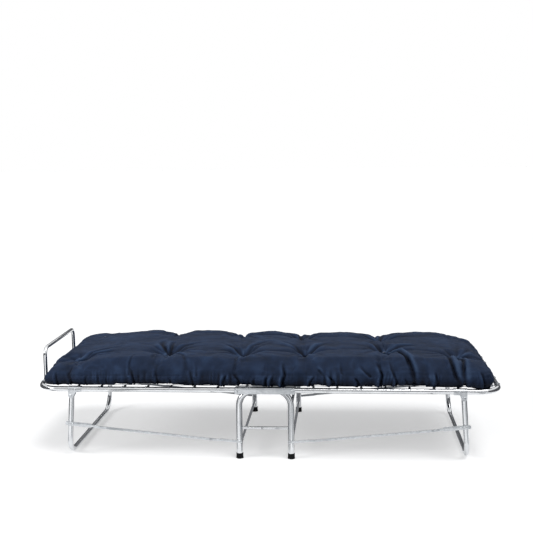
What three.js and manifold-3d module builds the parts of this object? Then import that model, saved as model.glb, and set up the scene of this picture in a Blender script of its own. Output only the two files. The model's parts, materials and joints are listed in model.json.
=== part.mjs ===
// Folding guest bed of plated steel tube: a four-legged centre stand carries two hinged mattress
// frames, and each frame ends in a U-shaped leg that folds flat against it.
// Millimetres, +Z up, +X towards the foot end, origin on the floor under the middle of the bed.
import * as THREE from "three";
import { mergeVertices } from "three/addons/utils/BufferGeometryUtils.js";
import Module from "manifold-3d";

const wasm = await Module();
wasm.setup();

// ---------------------------------------------------------------- driving dimensions
const CLEARANCE = 0.3; // between pieces that touch
const BED_LENGTH = 1900; // over the end bars
const RAIL_SPACING = 680; // between the axes of the two side rails
const AXIS_HEIGHT = 282.5; // rails, fold pivots and arch tops share this height
const PIVOT_SPACING = 227; // between the two fold pivots

const FRAME_TUBE = { radius: 11, wall: 1.2, bend: 90 };
const FRAME_SPIGOT_LENGTH = 60;
const FRAME_SPIGOT_WALL = 1.2;

const ARCH_TUBE = { radius: 12.5, wall: 1.5, bend: 64 };
const LEG_SPACING = 210; // between the two legs of one arch
const STAND_BAR_RADIUS = 6;
const SIDE_BAR_HEIGHT = 126;
const CROSSBAR_HEIGHTS = { upper: 210, lower: 47 };

const FOOT_FLOOR = 4.7;
const FOOT_HEIGHT = 22;
const FOOT_RADIUS = { sole: 15.5, rim: 14.2 };

const PLATE_END_MARGIN = 8.5; // past each fold pivot
const PLATE_BELOW_AXIS = 13;
const PLATE_ABOVE_AXIS = 12.5; // flush with the arch tube's top
const PLATE_THICKNESS = 2.5;
const PLATE_CORNER = 6;
const PLATE_BOSS_RADIUS = 8;
const PIVOT_BOLT = { radius: 4, headRadius: 6.8, headHeight: 3.2, nutRadius: 7.5, nutHeight: 5 };

const LEG_TUBE = { radius: 11, wall: 1.2, bend: 70 };
const LEG_PIVOT_INSET = 145; // from the end bar's axis back along the rail
const LEG_PIVOT_DROP = 24.5; // below the rail axis
const LEG_SPLAY = THREE.MathUtils.degToRad(4);
const TUBE_BORE_SIDES = 8;
const END_ROUNDING = 0.5; // how far a tube's pressed round end stands past its own radius
const FRAME_FOLD = THREE.MathUtils.degToRad(91.5); // of each frame, from lying flat to closed
const LEG_FOLD = THREE.MathUtils.degToRad(94); // of each end leg, from standing to lying on its frame

const BRACKET_SHEET = 2;
const BRACKET_INNER_REACH = 42; // from the leg pivot towards the middle of the bed
const BRACKET_EAR = 11.5;
const BRACKET_SKIRT = 11; // how far its cheeks hang below the rail axis
const BRACKET_KNEE = 18; // from the leg pivot back to where the cheeks' lower edge turns down
const BRACKET_STOP = { height: 14, sheet: 2 };
const RIVET = { radius: 3, headRadius: 6, headHeight: 2.2 };

const STRAP_WIDTH = 10;
const STRAP_SHEET = 2;
const STRAP_PIVOT_INSET = 5; // from the arch leg's axis towards the middle of the bed
const STRAP_PIVOT_HEIGHT = 71;
const STRAP_JOGGLE = { start: 78, run: 18 }; // from the pivot on the arch leg
const STRAP_END_JOGGLE = 88; // from the slot rivet back to where the far joggle ends
const STRAP_BOLT_GAP = 0.8; // between the strap and the fold pivot's bolt head
const LINK_WIDTH = 17;
const LINK_TAIL = 12; // straight part of the link beyond its rivet
const LINK_REACH = 118.3; // from the leg pivot down the arm to the link's rivet
const SLOT_REST = 15; // rivet's place in the link's slot with the bed open
const SLOT_END_WALL = 6;

const HOOP_TUBE = { radius: 8, wall: 1.2, bend: 30 };
const HOOP_WIDTH = 428; // between the axes of its posts
const HOOP_HEIGHT = 141; // above the end bar's axis

const WIRE_RADIUS = 1.3;
const WIRE_LAP = 0.6; // how deep crossing wires are welded into each other
const MESH_COLUMNS = 11;
const MESH_COLUMN_SPACING = 54;
const MESH_ROWS = 7;
const MESH_FIRST_ROW = 81.5; // from the fold pivot
const MESH_LAST_ROW = 17; // from the leg pivot towards the middle of the bed
const MIDDLE_ROWS = 3;
const MIDDLE_ROW_SPACING = 78;
const ROW_SPRING = { radius: 5, length: 40 };
const END_SPRING = { radius: 5.5, length: 52 };
const END_SPRING_GROUPS = [2, 2, 3, 2, 2]; // mesh columns gathered by each end spring
const MESH_PARTING = 3.2; // from the fold pivot to the ends of the column wires on both sides of it
const HOOK_WRAP = THREE.MathUtils.degToRad(140);
const HOOK_LEAD = 4; // straight wire between a spring and its hook

const MATTRESS_TOP = 369;
const MATTRESS_WIDTH = 690;
const MATTRESS_END_GAP = 6; // to the hoop's posts
const MATTRESS_HINGE_GAP = 20; // from the fold pivot to the end of a mattress half
const MATTRESS_CORNER = 40;

// ---------------------------------------------------------------- derived places
const RAIL_Y = RAIL_SPACING / 2;
const PIVOT_X = PIVOT_SPACING / 2;
const END_BAR_X = BED_LENGTH / 2 - FRAME_TUBE.radius;
const LEG_X = LEG_SPACING / 2;
const PLATE_INNER_Y = ARCH_TUBE.radius + CLEARANCE; // from the arch plane to a plate's inner face
const PLATE_OUTER_Y = PLATE_INNER_Y + PLATE_THICKNESS;
const LEG_PIVOT_X = END_BAR_X - LEG_PIVOT_INSET;
const LEG_PIVOT_Z = AXIS_HEIGHT - LEG_PIVOT_DROP;
const LEG_LENGTH = (LEG_PIVOT_Z - LEG_TUBE.radius) / Math.cos(LEG_SPLAY);
const BRACKET_INNER_Y = FRAME_TUBE.radius + CLEARANCE; // from the rail axis to a cheek's inner face
const BRACKET_OUTER_Y = BRACKET_INNER_Y + BRACKET_SHEET;
const STRAP_PIVOT = new THREE.Vector2(LEG_X - STRAP_PIVOT_INSET, STRAP_PIVOT_HEIGHT);
const LINK_PIN = new THREE.Vector2(
  LEG_PIVOT_X + LINK_REACH * Math.sin(LEG_SPLAY),
  LEG_PIVOT_Z - LINK_REACH * Math.cos(LEG_SPLAY),
);
const STRAP_LINE = LINK_PIN.clone().sub(STRAP_PIVOT);
const STRAP_ANGLE = Math.atan2(STRAP_LINE.y, STRAP_LINE.x);
const STRAP_LENGTH = STRAP_LINE.length() - SLOT_REST; // from its pivot to the slot rivet
const SLOT_TRAVEL = foldedLinkPin().distanceTo(STRAP_PIVOT) - STRAP_LINE.length();
const LINK_Y = RAIL_Y + LEG_TUBE.radius + CLEARANCE; // inner face of the slotted link
const STRAP_LEG_Y = RAIL_Y + ARCH_TUBE.radius + CLEARANCE; // inner face where it meets the arch leg
const BOLT_HEAD_Y = RAIL_Y + PLATE_OUTER_Y + CLEARANCE + PIVOT_BOLT.headHeight;
const STRAP_OUTER_Y = BOLT_HEAD_Y + STRAP_BOLT_GAP;
const STRAP_SLOT_Y = LINK_Y + STRAP_SHEET + CLEARANCE;

// Place of the link's rivet with the frame closed and its leg lying on it.
function foldedLinkPin() {
  const legPivot = new THREE.Vector2(LEG_PIVOT_X, LEG_PIVOT_Z);
  const framePivot = new THREE.Vector2(PIVOT_X, AXIS_HEIGHT);
  return LINK_PIN.clone().rotateAround(legPivot, -LEG_FOLD).rotateAround(framePivot, FRAME_FOLD);
}

// ---------------------------------------------------------------- materials
function material(color, metalness, roughness) {
  return new THREE.MeshStandardMaterial({ color, metalness, roughness });
}
const CHROME = material(0xc9ccd1, 1, 0.22);
const ZINC = material(0xb4b8bd, 1, 0.4);
const WIRE = material(0x9fa4aa, 1, 0.45);
const RUBBER = material(0x17181a, 0, 0.8);
const FABRIC = material(0x1c2740, 0, 0.95);

// ---------------------------------------------------------------- solids
function solid(geometry) {
  const bare = geometry.index ? geometry.toNonIndexed() : geometry.clone();
  bare.deleteAttribute("normal");
  bare.deleteAttribute("uv");
  const merged = mergeVertices(bare, 1e-4);
  const mesh = new wasm.Mesh({
    numProp: 3,
    vertProperties: merged.attributes.position.array,
    triVerts: new Uint32Array(merged.index.array),
  });
  return new wasm.Manifold(mesh);
}

function geometryOf(body) {
  const { numProp, numVert, vertProperties, triVerts } = body.getMesh();
  const positions = new Float32Array(numVert * 3);
  for (let i = 0; i < numVert; i += 1) {
    positions.set(vertProperties.subarray(i * numProp, i * numProp + 3), i * 3);
  }
  const geometry = new THREE.BufferGeometry();
  geometry.setAttribute("position", new THREE.BufferAttribute(positions, 3));
  geometry.setIndex(new THREE.BufferAttribute(triVerts, 1));
  return geometry;
}

function join(geometries) {
  const bodies = geometries.map(solid);
  return geometryOf(bodies.reduce((sum, body) => sum.add(body)));
}

function cut(geometry, tools) {
  return geometryOf(tools.map(solid).reduce((rest, tool) => rest.subtract(tool), solid(geometry)));
}

function common(a, b) {
  return geometryOf(solid(a).intersect(solid(b)));
}

// A round bar between two points.
function bar(from, to, radius, sides) {
  const line = new THREE.Vector3().subVectors(to, from);
  const geometry = new THREE.CylinderGeometry(radius, radius, line.length(), sides);
  const turn = new THREE.Quaternion().setFromUnitVectors(
    new THREE.Vector3(0, 1, 0),
    line.clone().normalize(),
  );
  geometry.applyQuaternion(turn);
  const middle = from.clone().add(to).multiplyScalar(0.5);
  return geometry.translate(middle.x, middle.y, middle.z);
}

// Radius of a faceted bore whose flats stay one clearance away from a round of this radius.
function boreFor(radius, sides) {
  return (radius + CLEARANCE) / Math.cos(Math.PI / sides);
}

// A bar or bore along Y, at a place in the XZ plane.
function crossPin(x, z, radius, yFrom, yTo, sides = 12) {
  return bar(new THREE.Vector3(x, yFrom, z), new THREE.Vector3(x, yTo, z), radius, sides);
}

// A body turned about the Y axis through (x, z), from [radius, y] points.
function turnedPin(x, z, outline, sides) {
  const profile = outline.map(([radius, y]) => new THREE.Vector2(radius, y));
  return new THREE.LatheGeometry(profile, sides).translate(x, 0, z);
}

// A curve that stops only at its own stations, so straight runs take one step each.
class StationCurve extends THREE.Curve {
  constructor(stations) {
    super();
    this.stations = stations;
  }
  getUtoTmapping(u) {
    return u;
  }
  getPoint(t) {
    return this.stations[Math.round(t * (this.stations.length - 1))].point.clone();
  }
  getTangent(t) {
    return this.stations[Math.round(t * (this.stations.length - 1))].tangent.clone();
  }
}

// Stations along straight runs through the points, with an arc of the bend radius at each corner.
function bentStations(points, bend, stepsPerBend) {
  const directions = points
    .slice(1)
    .map((point, i) => new THREE.Vector3().subVectors(point, points[i]).normalize());
  const stations = [{ point: points[0].clone(), tangent: directions[0] }];
  for (let i = 1; i < points.length - 1; i += 1) {
    const before = directions[i - 1];
    const after = directions[i];
    const angle = before.angleTo(after);
    const setback = bend * Math.tan(angle / 2);
    const start = points[i].clone().addScaledVector(before, -setback);
    const inward = after.clone().addScaledVector(before, -before.dot(after)).normalize();
    for (let step = 0; step <= stepsPerBend; step += 1) {
      const turned = (angle * step) / stepsPerBend;
      const point = start
        .clone()
        .addScaledVector(before, bend * Math.sin(turned))
        .addScaledVector(inward, bend * (1 - Math.cos(turned)));
      const tangent = before
        .clone()
        .multiplyScalar(Math.cos(turned))
        .addScaledVector(inward, Math.sin(turned));
      stations.push({ point, tangent });
    }
  }
  stations.push({ point: points.at(-1).clone(), tangent: directions.at(-1) });
  return stations;
}

// A tube or wire swept along stations; wall 0 makes it solid.
function sweep(stations, radius, wall, sides) {
  const section = new THREE.Shape();
  section.absarc(0, 0, radius, 0, 2 * Math.PI, false);
  if (wall > 0) {
    const bore = Array.from({ length: TUBE_BORE_SIDES }, (_, i) => {
      const angle = (-2 * Math.PI * i) / TUBE_BORE_SIDES;
      return new THREE.Vector2(Math.cos(angle), Math.sin(angle)).multiplyScalar(radius - wall);
    });
    section.holes.push(new THREE.Path(bore));
  }
  return new THREE.ExtrudeGeometry(section, {
    steps: stations.length - 1,
    curveSegments: sides / 2, // three.js takes twice as many steps round an arc
    extrudePath: new StationCurve(stations),
  });
}

function bentTube(points, tube, sides = 12, stepsPerBend = 4) {
  return sweep(bentStations(points, tube.bend, stepsPerBend), tube.radius, tube.wall, sides);
}

// A flat outline in X and Z, given thickness from yFrom to yTo.
function sheet(outline, yFrom, yTo, curveSegments = 3) {
  const geometry = new THREE.ExtrudeGeometry(outline, {
    depth: yTo - yFrom,
    bevelEnabled: false,
    curveSegments,
  });
  return geometry.rotateX(Math.PI / 2).translate(0, yTo, 0);
}

function roundedRectangle(x0, y0, x1, y1, radius) {
  const shape = new THREE.Shape();
  shape.absarc(x1 - radius, y1 - radius, radius, 0, Math.PI / 2, false);
  shape.absarc(x0 + radius, y1 - radius, radius, Math.PI / 2, Math.PI, false);
  shape.absarc(x0 + radius, y0 + radius, radius, Math.PI, 1.5 * Math.PI, false);
  shape.absarc(x1 - radius, y0 + radius, radius, 1.5 * Math.PI, 2 * Math.PI, false);
  return shape;
}

// ---------------------------------------------------------------- scene graph
const bed = new THREE.Group();

function add(parent, name, geometry, look) {
  const mesh = new THREE.Mesh(geometry, look);
  mesh.name = name;
  parent.add(mesh);
  return mesh;
}

const SIDES = [
  { name: "near", y: -1 },
  { name: "far", y: 1 },
];
const ENDS = [
  { name: "head", x: -1 },
  { name: "foot", x: 1 },
];

// A group that mirrors what is modelled at +X and +Y into one end and side of the bed.
function quarter(endX, sideY) {
  const group = new THREE.Group();
  group.scale.set(endX, sideY, 1);
  bed.add(group);
  return group;
}

// ---------------------------------------------------------------- centre stand
function arch() {
  const corners = [
    new THREE.Vector3(LEG_X, RAIL_Y, FOOT_FLOOR + CLEARANCE),
    new THREE.Vector3(LEG_X, RAIL_Y, AXIS_HEIGHT),
    new THREE.Vector3(-LEG_X, RAIL_Y, AXIS_HEIGHT),
    new THREE.Vector3(-LEG_X, RAIL_Y, FOOT_FLOOR + CLEARANCE),
  ];
  const bores = ENDS.map((end) =>
    crossPin(
      end.x * STRAP_PIVOT.x,
      STRAP_PIVOT.y,
      boreFor(RIVET.radius, 8),
      RAIL_Y - ARCH_TUBE.radius - 1,
      RAIL_Y + ARCH_TUBE.radius + 1,
      8,
    ),
  );
  return cut(bentTube(corners, ARCH_TUBE), bores);
}

function coped(rod, posts, postRadius) {
  const tools = posts.map(([x, y]) =>
    bar(
      new THREE.Vector3(x, y, 0),
      new THREE.Vector3(x, y, AXIS_HEIGHT),
      boreFor(postRadius, 24),
      24,
    ),
  );
  return cut(rod, tools);
}

function sideBar() {
  const rod = bar(
    new THREE.Vector3(-LEG_X, RAIL_Y, SIDE_BAR_HEIGHT),
    new THREE.Vector3(LEG_X, RAIL_Y, SIDE_BAR_HEIGHT),
    STAND_BAR_RADIUS,
    10,
  );
  const posts = ENDS.map((end) => [end.x * LEG_X, RAIL_Y]);
  return coped(rod, posts, ARCH_TUBE.radius);
}

function crossbar(height) {
  const rod = bar(
    new THREE.Vector3(LEG_X, -RAIL_Y, height),
    new THREE.Vector3(LEG_X, RAIL_Y, height),
    STAND_BAR_RADIUS,
    10,
  );
  const posts = SIDES.map((side) => [LEG_X, side.y * RAIL_Y]);
  return coped(rod, posts, ARCH_TUBE.radius);
}

function rubberFoot() {
  const bore = boreFor(ARCH_TUBE.radius, 12);
  const sole = FOOT_RADIUS.sole;
  const rim = FOOT_RADIUS.rim;
  const outline = [
    [0, 0],
    [sole - 1, 0],
    [sole, 1.5],
    [rim, FOOT_HEIGHT - 1],
    [rim - 0.7, FOOT_HEIGHT],
    [bore, FOOT_HEIGHT],
    [bore, FOOT_FLOOR],
    [0, FOOT_FLOOR],
  ];
  const profile = outline.map(([radius, z]) => new THREE.Vector2(radius, z));
  const geometry = new THREE.LatheGeometry(profile, 12);
  return geometry.rotateX(Math.PI / 2).translate(LEG_X, RAIL_Y, 0);
}

// Side plate with a pressed boss at each fold pivot, modelled from the arch plane outwards.
function sidePlate(holesForMesh) {
  const half = PIVOT_X + PLATE_END_MARGIN;
  const outline = roundedRectangle(
    -half,
    AXIS_HEIGHT - PLATE_BELOW_AXIS,
    half,
    AXIS_HEIGHT + PLATE_ABOVE_AXIS,
    PLATE_CORNER,
  );
  const bossFace = FRAME_TUBE.radius + CLEARANCE;
  const bosses = ENDS.map((end) =>
    crossPin(end.x * PIVOT_X, AXIS_HEIGHT, PLATE_BOSS_RADIUS, bossFace, PLATE_INNER_Y + 1, 10),
  );
  const plate = join([sheet(outline, PLATE_INNER_Y, PLATE_OUTER_Y, 2), ...bosses]);
  const boltBore = boreFor(PIVOT_BOLT.radius, 8);
  const tools = ENDS.map((end) =>
    crossPin(end.x * PIVOT_X, AXIS_HEIGHT, boltBore, 0, PLATE_OUTER_Y + 1, 8),
  );
  if (holesForMesh) {
    middleRowPlaces().forEach((x) => {
      tools.push(crossPin(x, AXIS_HEIGHT, WIRE_RADIUS + 1, PLATE_INNER_Y - 1, PLATE_OUTER_Y + 1, 6));
    });
  }
  return cut(plate, tools);
}

function pivotBolt() {
  const { radius, headRadius, headHeight, nutRadius, nutHeight } = PIVOT_BOLT;
  const headSeat = RAIL_Y + PLATE_OUTER_Y + CLEARANCE;
  const nutSeat = RAIL_Y - PLATE_OUTER_Y - CLEARANCE;
  const headAndShank = turnedPin(
    PIVOT_X,
    AXIS_HEIGHT,
    [
      [0, nutSeat - nutHeight - 2],
      [radius, nutSeat - nutHeight - 2],
      [radius, headSeat],
      [headRadius, headSeat],
      [headRadius, headSeat + headHeight / 2],
      [headRadius * 0.6, headSeat + headHeight],
      [0, headSeat + headHeight],
    ],
    10,
  );
  const nut = crossPin(PIVOT_X, AXIS_HEIGHT, nutRadius, nutSeat - nutHeight, nutSeat, 6);
  return join([headAndShank, nut]);
}

// A rivet along Y with a head beyond each of the two seats.
function rivet(x, z, innerSeat, outerSeat) {
  const { radius, headRadius, headHeight } = RIVET;
  const outline = [
    [0, innerSeat - headHeight],
    [headRadius * 0.7, innerSeat - headHeight],
    [headRadius, innerSeat],
    [radius, innerSeat],
    [radius, outerSeat],
    [headRadius, outerSeat],
    [headRadius * 0.7, outerSeat + headHeight],
    [0, outerSeat + headHeight],
  ];
  return turnedPin(x, z, outline, 8);
}

function buildStand() {
  SIDES.forEach((side) => {
    const group = quarter(1, side.y);
    add(group, `arch_${side.name}`, arch(), CHROME);
    add(group, `side_bar_${side.name}`, sideBar(), CHROME);
    const outer = add(group, `side_plate_${side.name}_outer`, sidePlate(false), ZINC);
    outer.position.y = RAIL_Y;
    const inner = add(group, `side_plate_${side.name}_inner`, sidePlate(true), ZINC);
    inner.position.y = RAIL_Y;
    inner.scale.y = -1;
  });
  ENDS.forEach((end) => {
    const group = quarter(end.x, 1);
    Object.entries(CROSSBAR_HEIGHTS).forEach(([level, height]) => {
      add(group, `crossbar_${end.name}_${level}`, crossbar(height), CHROME);
    });
    SIDES.forEach((side) => {
      const corner = quarter(end.x, side.y);
      const place = `${end.name}_${side.name}`;
      add(corner, `rubber_foot_${place}`, rubberFoot(), RUBBER);
      add(corner, `pivot_bolt_${place}`, pivotBolt(), ZINC);
      const innerSeat = RAIL_Y - ARCH_TUBE.radius - CLEARANCE;
      const outerSeat = STRAP_LEG_Y + STRAP_SHEET + CLEARANCE;
      const strapRivet = rivet(STRAP_PIVOT.x, STRAP_PIVOT.y, innerSeat, outerSeat);
      add(corner, `strap_rivet_${place}`, strapRivet, ZINC);
    });
  });
}

// ---------------------------------------------------------------- mattress frames
// A prism along Y whose end is round about the origin, for tubes that swing close to a neighbour.
function roundEnded(length, radius) {
  const outline = new THREE.Shape();
  outline.absarc(0, 0, radius, Math.PI / 2, 1.5 * Math.PI, false);
  outline.lineTo(length, -radius);
  outline.lineTo(length, radius);
  return outline;
}

// Half of a frame: a side rail, a corner bend and half of the end bar.
function frameTube(hasSpigot) {
  const roundRadius = FRAME_TUBE.radius + END_ROUNDING;
  const corners = [
    new THREE.Vector3(PIVOT_X - roundRadius - 1, RAIL_Y, 0),
    new THREE.Vector3(END_BAR_X, RAIL_Y, 0),
    new THREE.Vector3(END_BAR_X, CLEARANCE / 2, 0),
  ];
  const tube = bentTube(corners, FRAME_TUBE);
  const envelope = sheet(roundEnded(BED_LENGTH, roundRadius), -1, RAIL_Y + 2 * FRAME_TUBE.radius, 6);
  const trimmed = common(tube, envelope.translate(PIVOT_X, 0, 0));
  const bore = crossPin(
    PIVOT_X,
    0,
    boreFor(PIVOT_BOLT.radius, 12),
    RAIL_Y - FRAME_TUBE.radius - 1,
    RAIL_Y + FRAME_TUBE.radius + 1,
  );
  const drilled = cut(trimmed, [bore]);
  const whole = hasSpigot ? join([drilled, spigot()]) : drilled;
  return whole.translate(0, 0, AXIS_HEIGHT);
}

// Reduced tube end that slides into the neighbouring half of the end bar.
function spigot() {
  const socket = FRAME_TUBE.radius - FRAME_TUBE.wall;
  const outside = (socket - CLEARANCE) * Math.cos(Math.PI / TUBE_BORE_SIDES);
  const inside = outside - FRAME_SPIGOT_WALL;
  const root = 12;
  const outline = [
    [inside, -FRAME_SPIGOT_LENGTH],
    [outside, -FRAME_SPIGOT_LENGTH],
    [outside, CLEARANCE / 2],
    [socket, CLEARANCE / 2],
    [socket, root],
    [inside, root],
    [inside, -FRAME_SPIGOT_LENGTH],
  ];
  return turnedPin(END_BAR_X, 0, outline, 12);
}

// Saddle bracket: a channel over the rail, cut to the outline of its two ears.
function legBracket() {
  const ear = BRACKET_EAR;
  const innerEdge = LEG_PIVOT_X - BRACKET_INNER_REACH;
  const outerEdge = LEG_PIVOT_X + ear;
  const channelLength = outerEdge - innerEdge;
  const section = new THREE.Shape();
  section.moveTo(-BRACKET_OUTER_Y, -LEG_PIVOT_DROP - ear);
  section.lineTo(-BRACKET_OUTER_Y, BRACKET_OUTER_Y);
  section.lineTo(BRACKET_OUTER_Y, BRACKET_OUTER_Y);
  section.lineTo(BRACKET_OUTER_Y, -LEG_PIVOT_DROP - ear);
  section.lineTo(BRACKET_INNER_Y, -LEG_PIVOT_DROP - ear);
  section.lineTo(BRACKET_INNER_Y, 0);
  section.absarc(0, 0, BRACKET_INNER_Y, 0, Math.PI, false);
  section.lineTo(-BRACKET_INNER_Y, -LEG_PIVOT_DROP - ear);
  const channel = new THREE.ExtrudeGeometry(section, {
    depth: channelLength,
    bevelEnabled: false,
    curveSegments: 4,
  });
  channel.rotateX(Math.PI / 2).rotateZ(Math.PI / 2);
  channel.translate(innerEdge, RAIL_Y, AXIS_HEIGHT);

  const outline = new THREE.Shape();
  outline.moveTo(innerEdge, AXIS_HEIGHT - BRACKET_SKIRT);
  outline.lineTo(innerEdge + 2, AXIS_HEIGHT + BRACKET_OUTER_Y + 1);
  outline.lineTo(outerEdge, AXIS_HEIGHT + BRACKET_OUTER_Y + 1);
  const knee = new THREE.Vector2(-BRACKET_KNEE, LEG_PIVOT_DROP - BRACKET_SKIRT);
  const tangent = Math.atan2(knee.y, knee.x) + Math.acos(ear / knee.length()) - 2 * Math.PI;
  outline.absarc(LEG_PIVOT_X, LEG_PIVOT_Z, ear, 0, tangent, true);
  outline.lineTo(LEG_PIVOT_X + knee.x, LEG_PIVOT_Z + knee.y);
  const reach = BRACKET_OUTER_Y + 1;
  const cheeks = common(channel, sheet(outline, RAIL_Y - reach, RAIL_Y + reach, 4));

  const pinBore = crossPin(
    LEG_PIVOT_X,
    LEG_PIVOT_Z,
    boreFor(RIVET.radius, 8),
    RAIL_Y - reach,
    RAIL_Y + reach,
    8,
  );
  const wireHole = crossPin(
    lastRowPlace(),
    AXIS_HEIGHT,
    WIRE_RADIUS + 1,
    RAIL_Y - reach,
    RAIL_Y - FRAME_TUBE.radius,
    8,
  );
  return cut(join([cheeks, bracketHead()]), [pinBore, wireHole]);
}

// Domed head of the rivet that holds a bracket to its rail.
function bracketHead() {
  const seat = RAIL_Y + BRACKET_OUTER_Y;
  const radius = RIVET.headRadius * 0.8;
  return turnedPin(
    lastRowPlace(),
    AXIS_HEIGHT,
    [
      [0, seat - BRACKET_SHEET / 2],
      [radius, seat - BRACKET_SHEET / 2],
      [radius, seat + 0.6],
      [radius * 0.6, seat + RIVET.headHeight],
      [0, seat + RIVET.headHeight],
    ],
    8,
  );
}

function hoop() {
  const half = HOOP_WIDTH / 2;
  const top = AXIS_HEIGHT + HOOP_HEIGHT;
  const corners = [
    new THREE.Vector3(END_BAR_X, half, AXIS_HEIGHT),
    new THREE.Vector3(END_BAR_X, half, top),
    new THREE.Vector3(END_BAR_X, -half, top),
    new THREE.Vector3(END_BAR_X, -half, AXIS_HEIGHT),
  ];
  const tube = bentTube(corners, HOOP_TUBE, 8, 4);
  const endBar = crossPin(
    END_BAR_X,
    AXIS_HEIGHT,
    boreFor(FRAME_TUBE.radius, 24),
    -RAIL_Y,
    RAIL_Y,
    24,
  );
  return cut(tube, [endBar]);
}

// ---------------------------------------------------------------- spring mesh
function middleRowPlaces() {
  return Array.from({ length: MIDDLE_ROWS }, (_, i) => {
    return (i - (MIDDLE_ROWS - 1) / 2) * MIDDLE_ROW_SPACING;
  });
}

function frameRowPlaces() {
  const first = PIVOT_X + MESH_FIRST_ROW;
  const spacing = (lastRowPlace() - first) / (MESH_ROWS - 1);
  return Array.from({ length: MESH_ROWS }, (_, i) => first + i * spacing);
}

function lastRowPlace() {
  return LEG_PIVOT_X - MESH_LAST_ROW;
}

function columnPlaces() {
  return Array.from({ length: MESH_COLUMNS }, (_, i) => {
    return (i - (MESH_COLUMNS - 1) / 2) * MESH_COLUMN_SPACING;
  });
}

// A wire through the points, mitred where it turns.
function wire(...points) {
  const directions = points
    .slice(1)
    .map((point, i) => new THREE.Vector3().subVectors(point, points[i]).normalize());
  const stations = points.map((point, i) => {
    const before = directions[Math.max(i - 1, 0)];
    const after = directions[Math.min(i, directions.length - 1)];
    return { point, tangent: before.clone().add(after).normalize() };
  });
  return sweep(stations, WIRE_RADIUS, 0, 4);
}

const ROW_Z = -WIRE_RADIUS + WIRE_LAP / 2; // row wires lie under the columns, mesh plane at zero
const COLUMN_Z = -ROW_Z;
const HOOK_Y = RAIL_Y - FRAME_TUBE.radius - CLEARANCE - WIRE_RADIUS; // where a hook meets its lead
const ROW_SPRING_START = HOOK_Y - HOOK_LEAD - ROW_SPRING.length;
const END_HOOK_X = END_BAR_X - FRAME_TUBE.radius - CLEARANCE - WIRE_RADIUS;
const END_SPRING_START = END_HOOK_X - HOOK_LEAD - END_SPRING.length;
const SPRING_EYE = 2; // how far a wire reaches into the end of a spring

// A closed coil spring between two points, as its outer envelope.
function coil(from, to, radius) {
  return bar(from, to, radius, 6);
}

// Wire from a spring to a round bar whose axis is at the origin of the hook's own plane, and over it.
function hook(barRadius) {
  const radius = barRadius + CLEARANCE + WIRE_RADIUS;
  const steps = 5;
  const arc = Array.from({ length: steps + 1 }, (_, i) => {
    const turned = (HOOK_WRAP * i) / steps;
    return new THREE.Vector3(0, -radius * Math.cos(turned), radius * Math.sin(turned));
  });
  return wire(new THREE.Vector3(0, -radius - HOOK_LEAD - SPRING_EYE, 0), ...arc);
}

// A row's spring at +Y, with its seat: a hook over the rail, or a hole in the side plate or bracket
// whose inner face lies seatDepth inside the rail axis.
function rowEnd(x, seatDepth) {
  const springEnd = HOOK_Y - HOOK_LEAD;
  const spring = coil(
    new THREE.Vector3(x, ROW_SPRING_START, 0),
    new THREE.Vector3(x, springEnd, 0),
    ROW_SPRING.radius,
  );
  if (seatDepth === 0) return [spring, hook(FRAME_TUBE.radius).translate(x, RAIL_Y, 0)];
  const straight = wire(
    new THREE.Vector3(x, springEnd - SPRING_EYE, 0),
    new THREE.Vector3(x, RAIL_Y - seatDepth - CLEARANCE, 0),
  );
  return [spring, straight];
}

function mirrored(geometry, x, y) {
  const copy = geometry.clone();
  copy.scale(x, y, 1);
  if (x * y < 0) {
    const flat = copy.index ? copy.toNonIndexed() : copy;
    const position = flat.attributes.position;
    for (let i = 0; i < position.count; i += 3) {
      const a = new THREE.Vector3().fromBufferAttribute(position, i);
      const b = new THREE.Vector3().fromBufferAttribute(position, i + 1);
      position.setXYZ(i, b.x, b.y, b.z);
      position.setXYZ(i + 1, a.x, a.y, a.z);
    }
    return flat;
  }
  return copy;
}

function row(x, seatDepth) {
  const half = ROW_SPRING_START + SPRING_EYE;
  const middle = wire(new THREE.Vector3(x, -half, ROW_Z), new THREE.Vector3(x, half, ROW_Z));
  const end = rowEnd(x, seatDepth);
  return [middle, ...end, ...end.map((piece) => mirrored(piece, 1, -1))];
}

// An end spring hooked over the end bar.
function endSpring(y) {
  return [
    coil(
      new THREE.Vector3(END_SPRING_START, y, 0),
      new THREE.Vector3(END_HOOK_X - HOOK_LEAD, y, 0),
      END_SPRING.radius,
    ),
    hook(FRAME_TUBE.radius).rotateZ(-Math.PI / 2).translate(END_BAR_X, y, 0),
  ];
}

// Columns that one end spring gathers: straight to the last row, then slanting in to the spring.
function gatheredColumns(columns) {
  const y = columns.reduce((sum, column) => sum + column, 0) / columns.length;
  const wires = columns.map((column) =>
    wire(
      new THREE.Vector3(PIVOT_X + MESH_PARTING, column, COLUMN_Z),
      new THREE.Vector3(lastRowPlace(), column, COLUMN_Z),
      new THREE.Vector3(END_SPRING_START + SPRING_EYE, y, 0),
    ),
  );
  return [...wires, ...endSpring(y)];
}

function frameMesh() {
  const places = frameRowPlaces();
  const pieces = places.flatMap((x, i) => row(x, i === MESH_ROWS - 1 ? BRACKET_INNER_Y : 0));
  const columns = columnPlaces();
  END_SPRING_GROUPS.forEach((count) => {
    pieces.push(...gatheredColumns(columns.splice(0, count)));
  });
  return join(pieces).translate(0, 0, AXIS_HEIGHT);
}

function middleMesh() {
  const pieces = middleRowPlaces().flatMap((x) => row(x, PLATE_INNER_Y));
  const reach = PIVOT_X - MESH_PARTING;
  columnPlaces().forEach((y) => {
    const from = new THREE.Vector3(-reach, y, COLUMN_Z);
    pieces.push(wire(from, new THREE.Vector3(reach, y, COLUMN_Z)));
  });
  return join(pieces).translate(0, 0, AXIS_HEIGHT);
}

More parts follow.
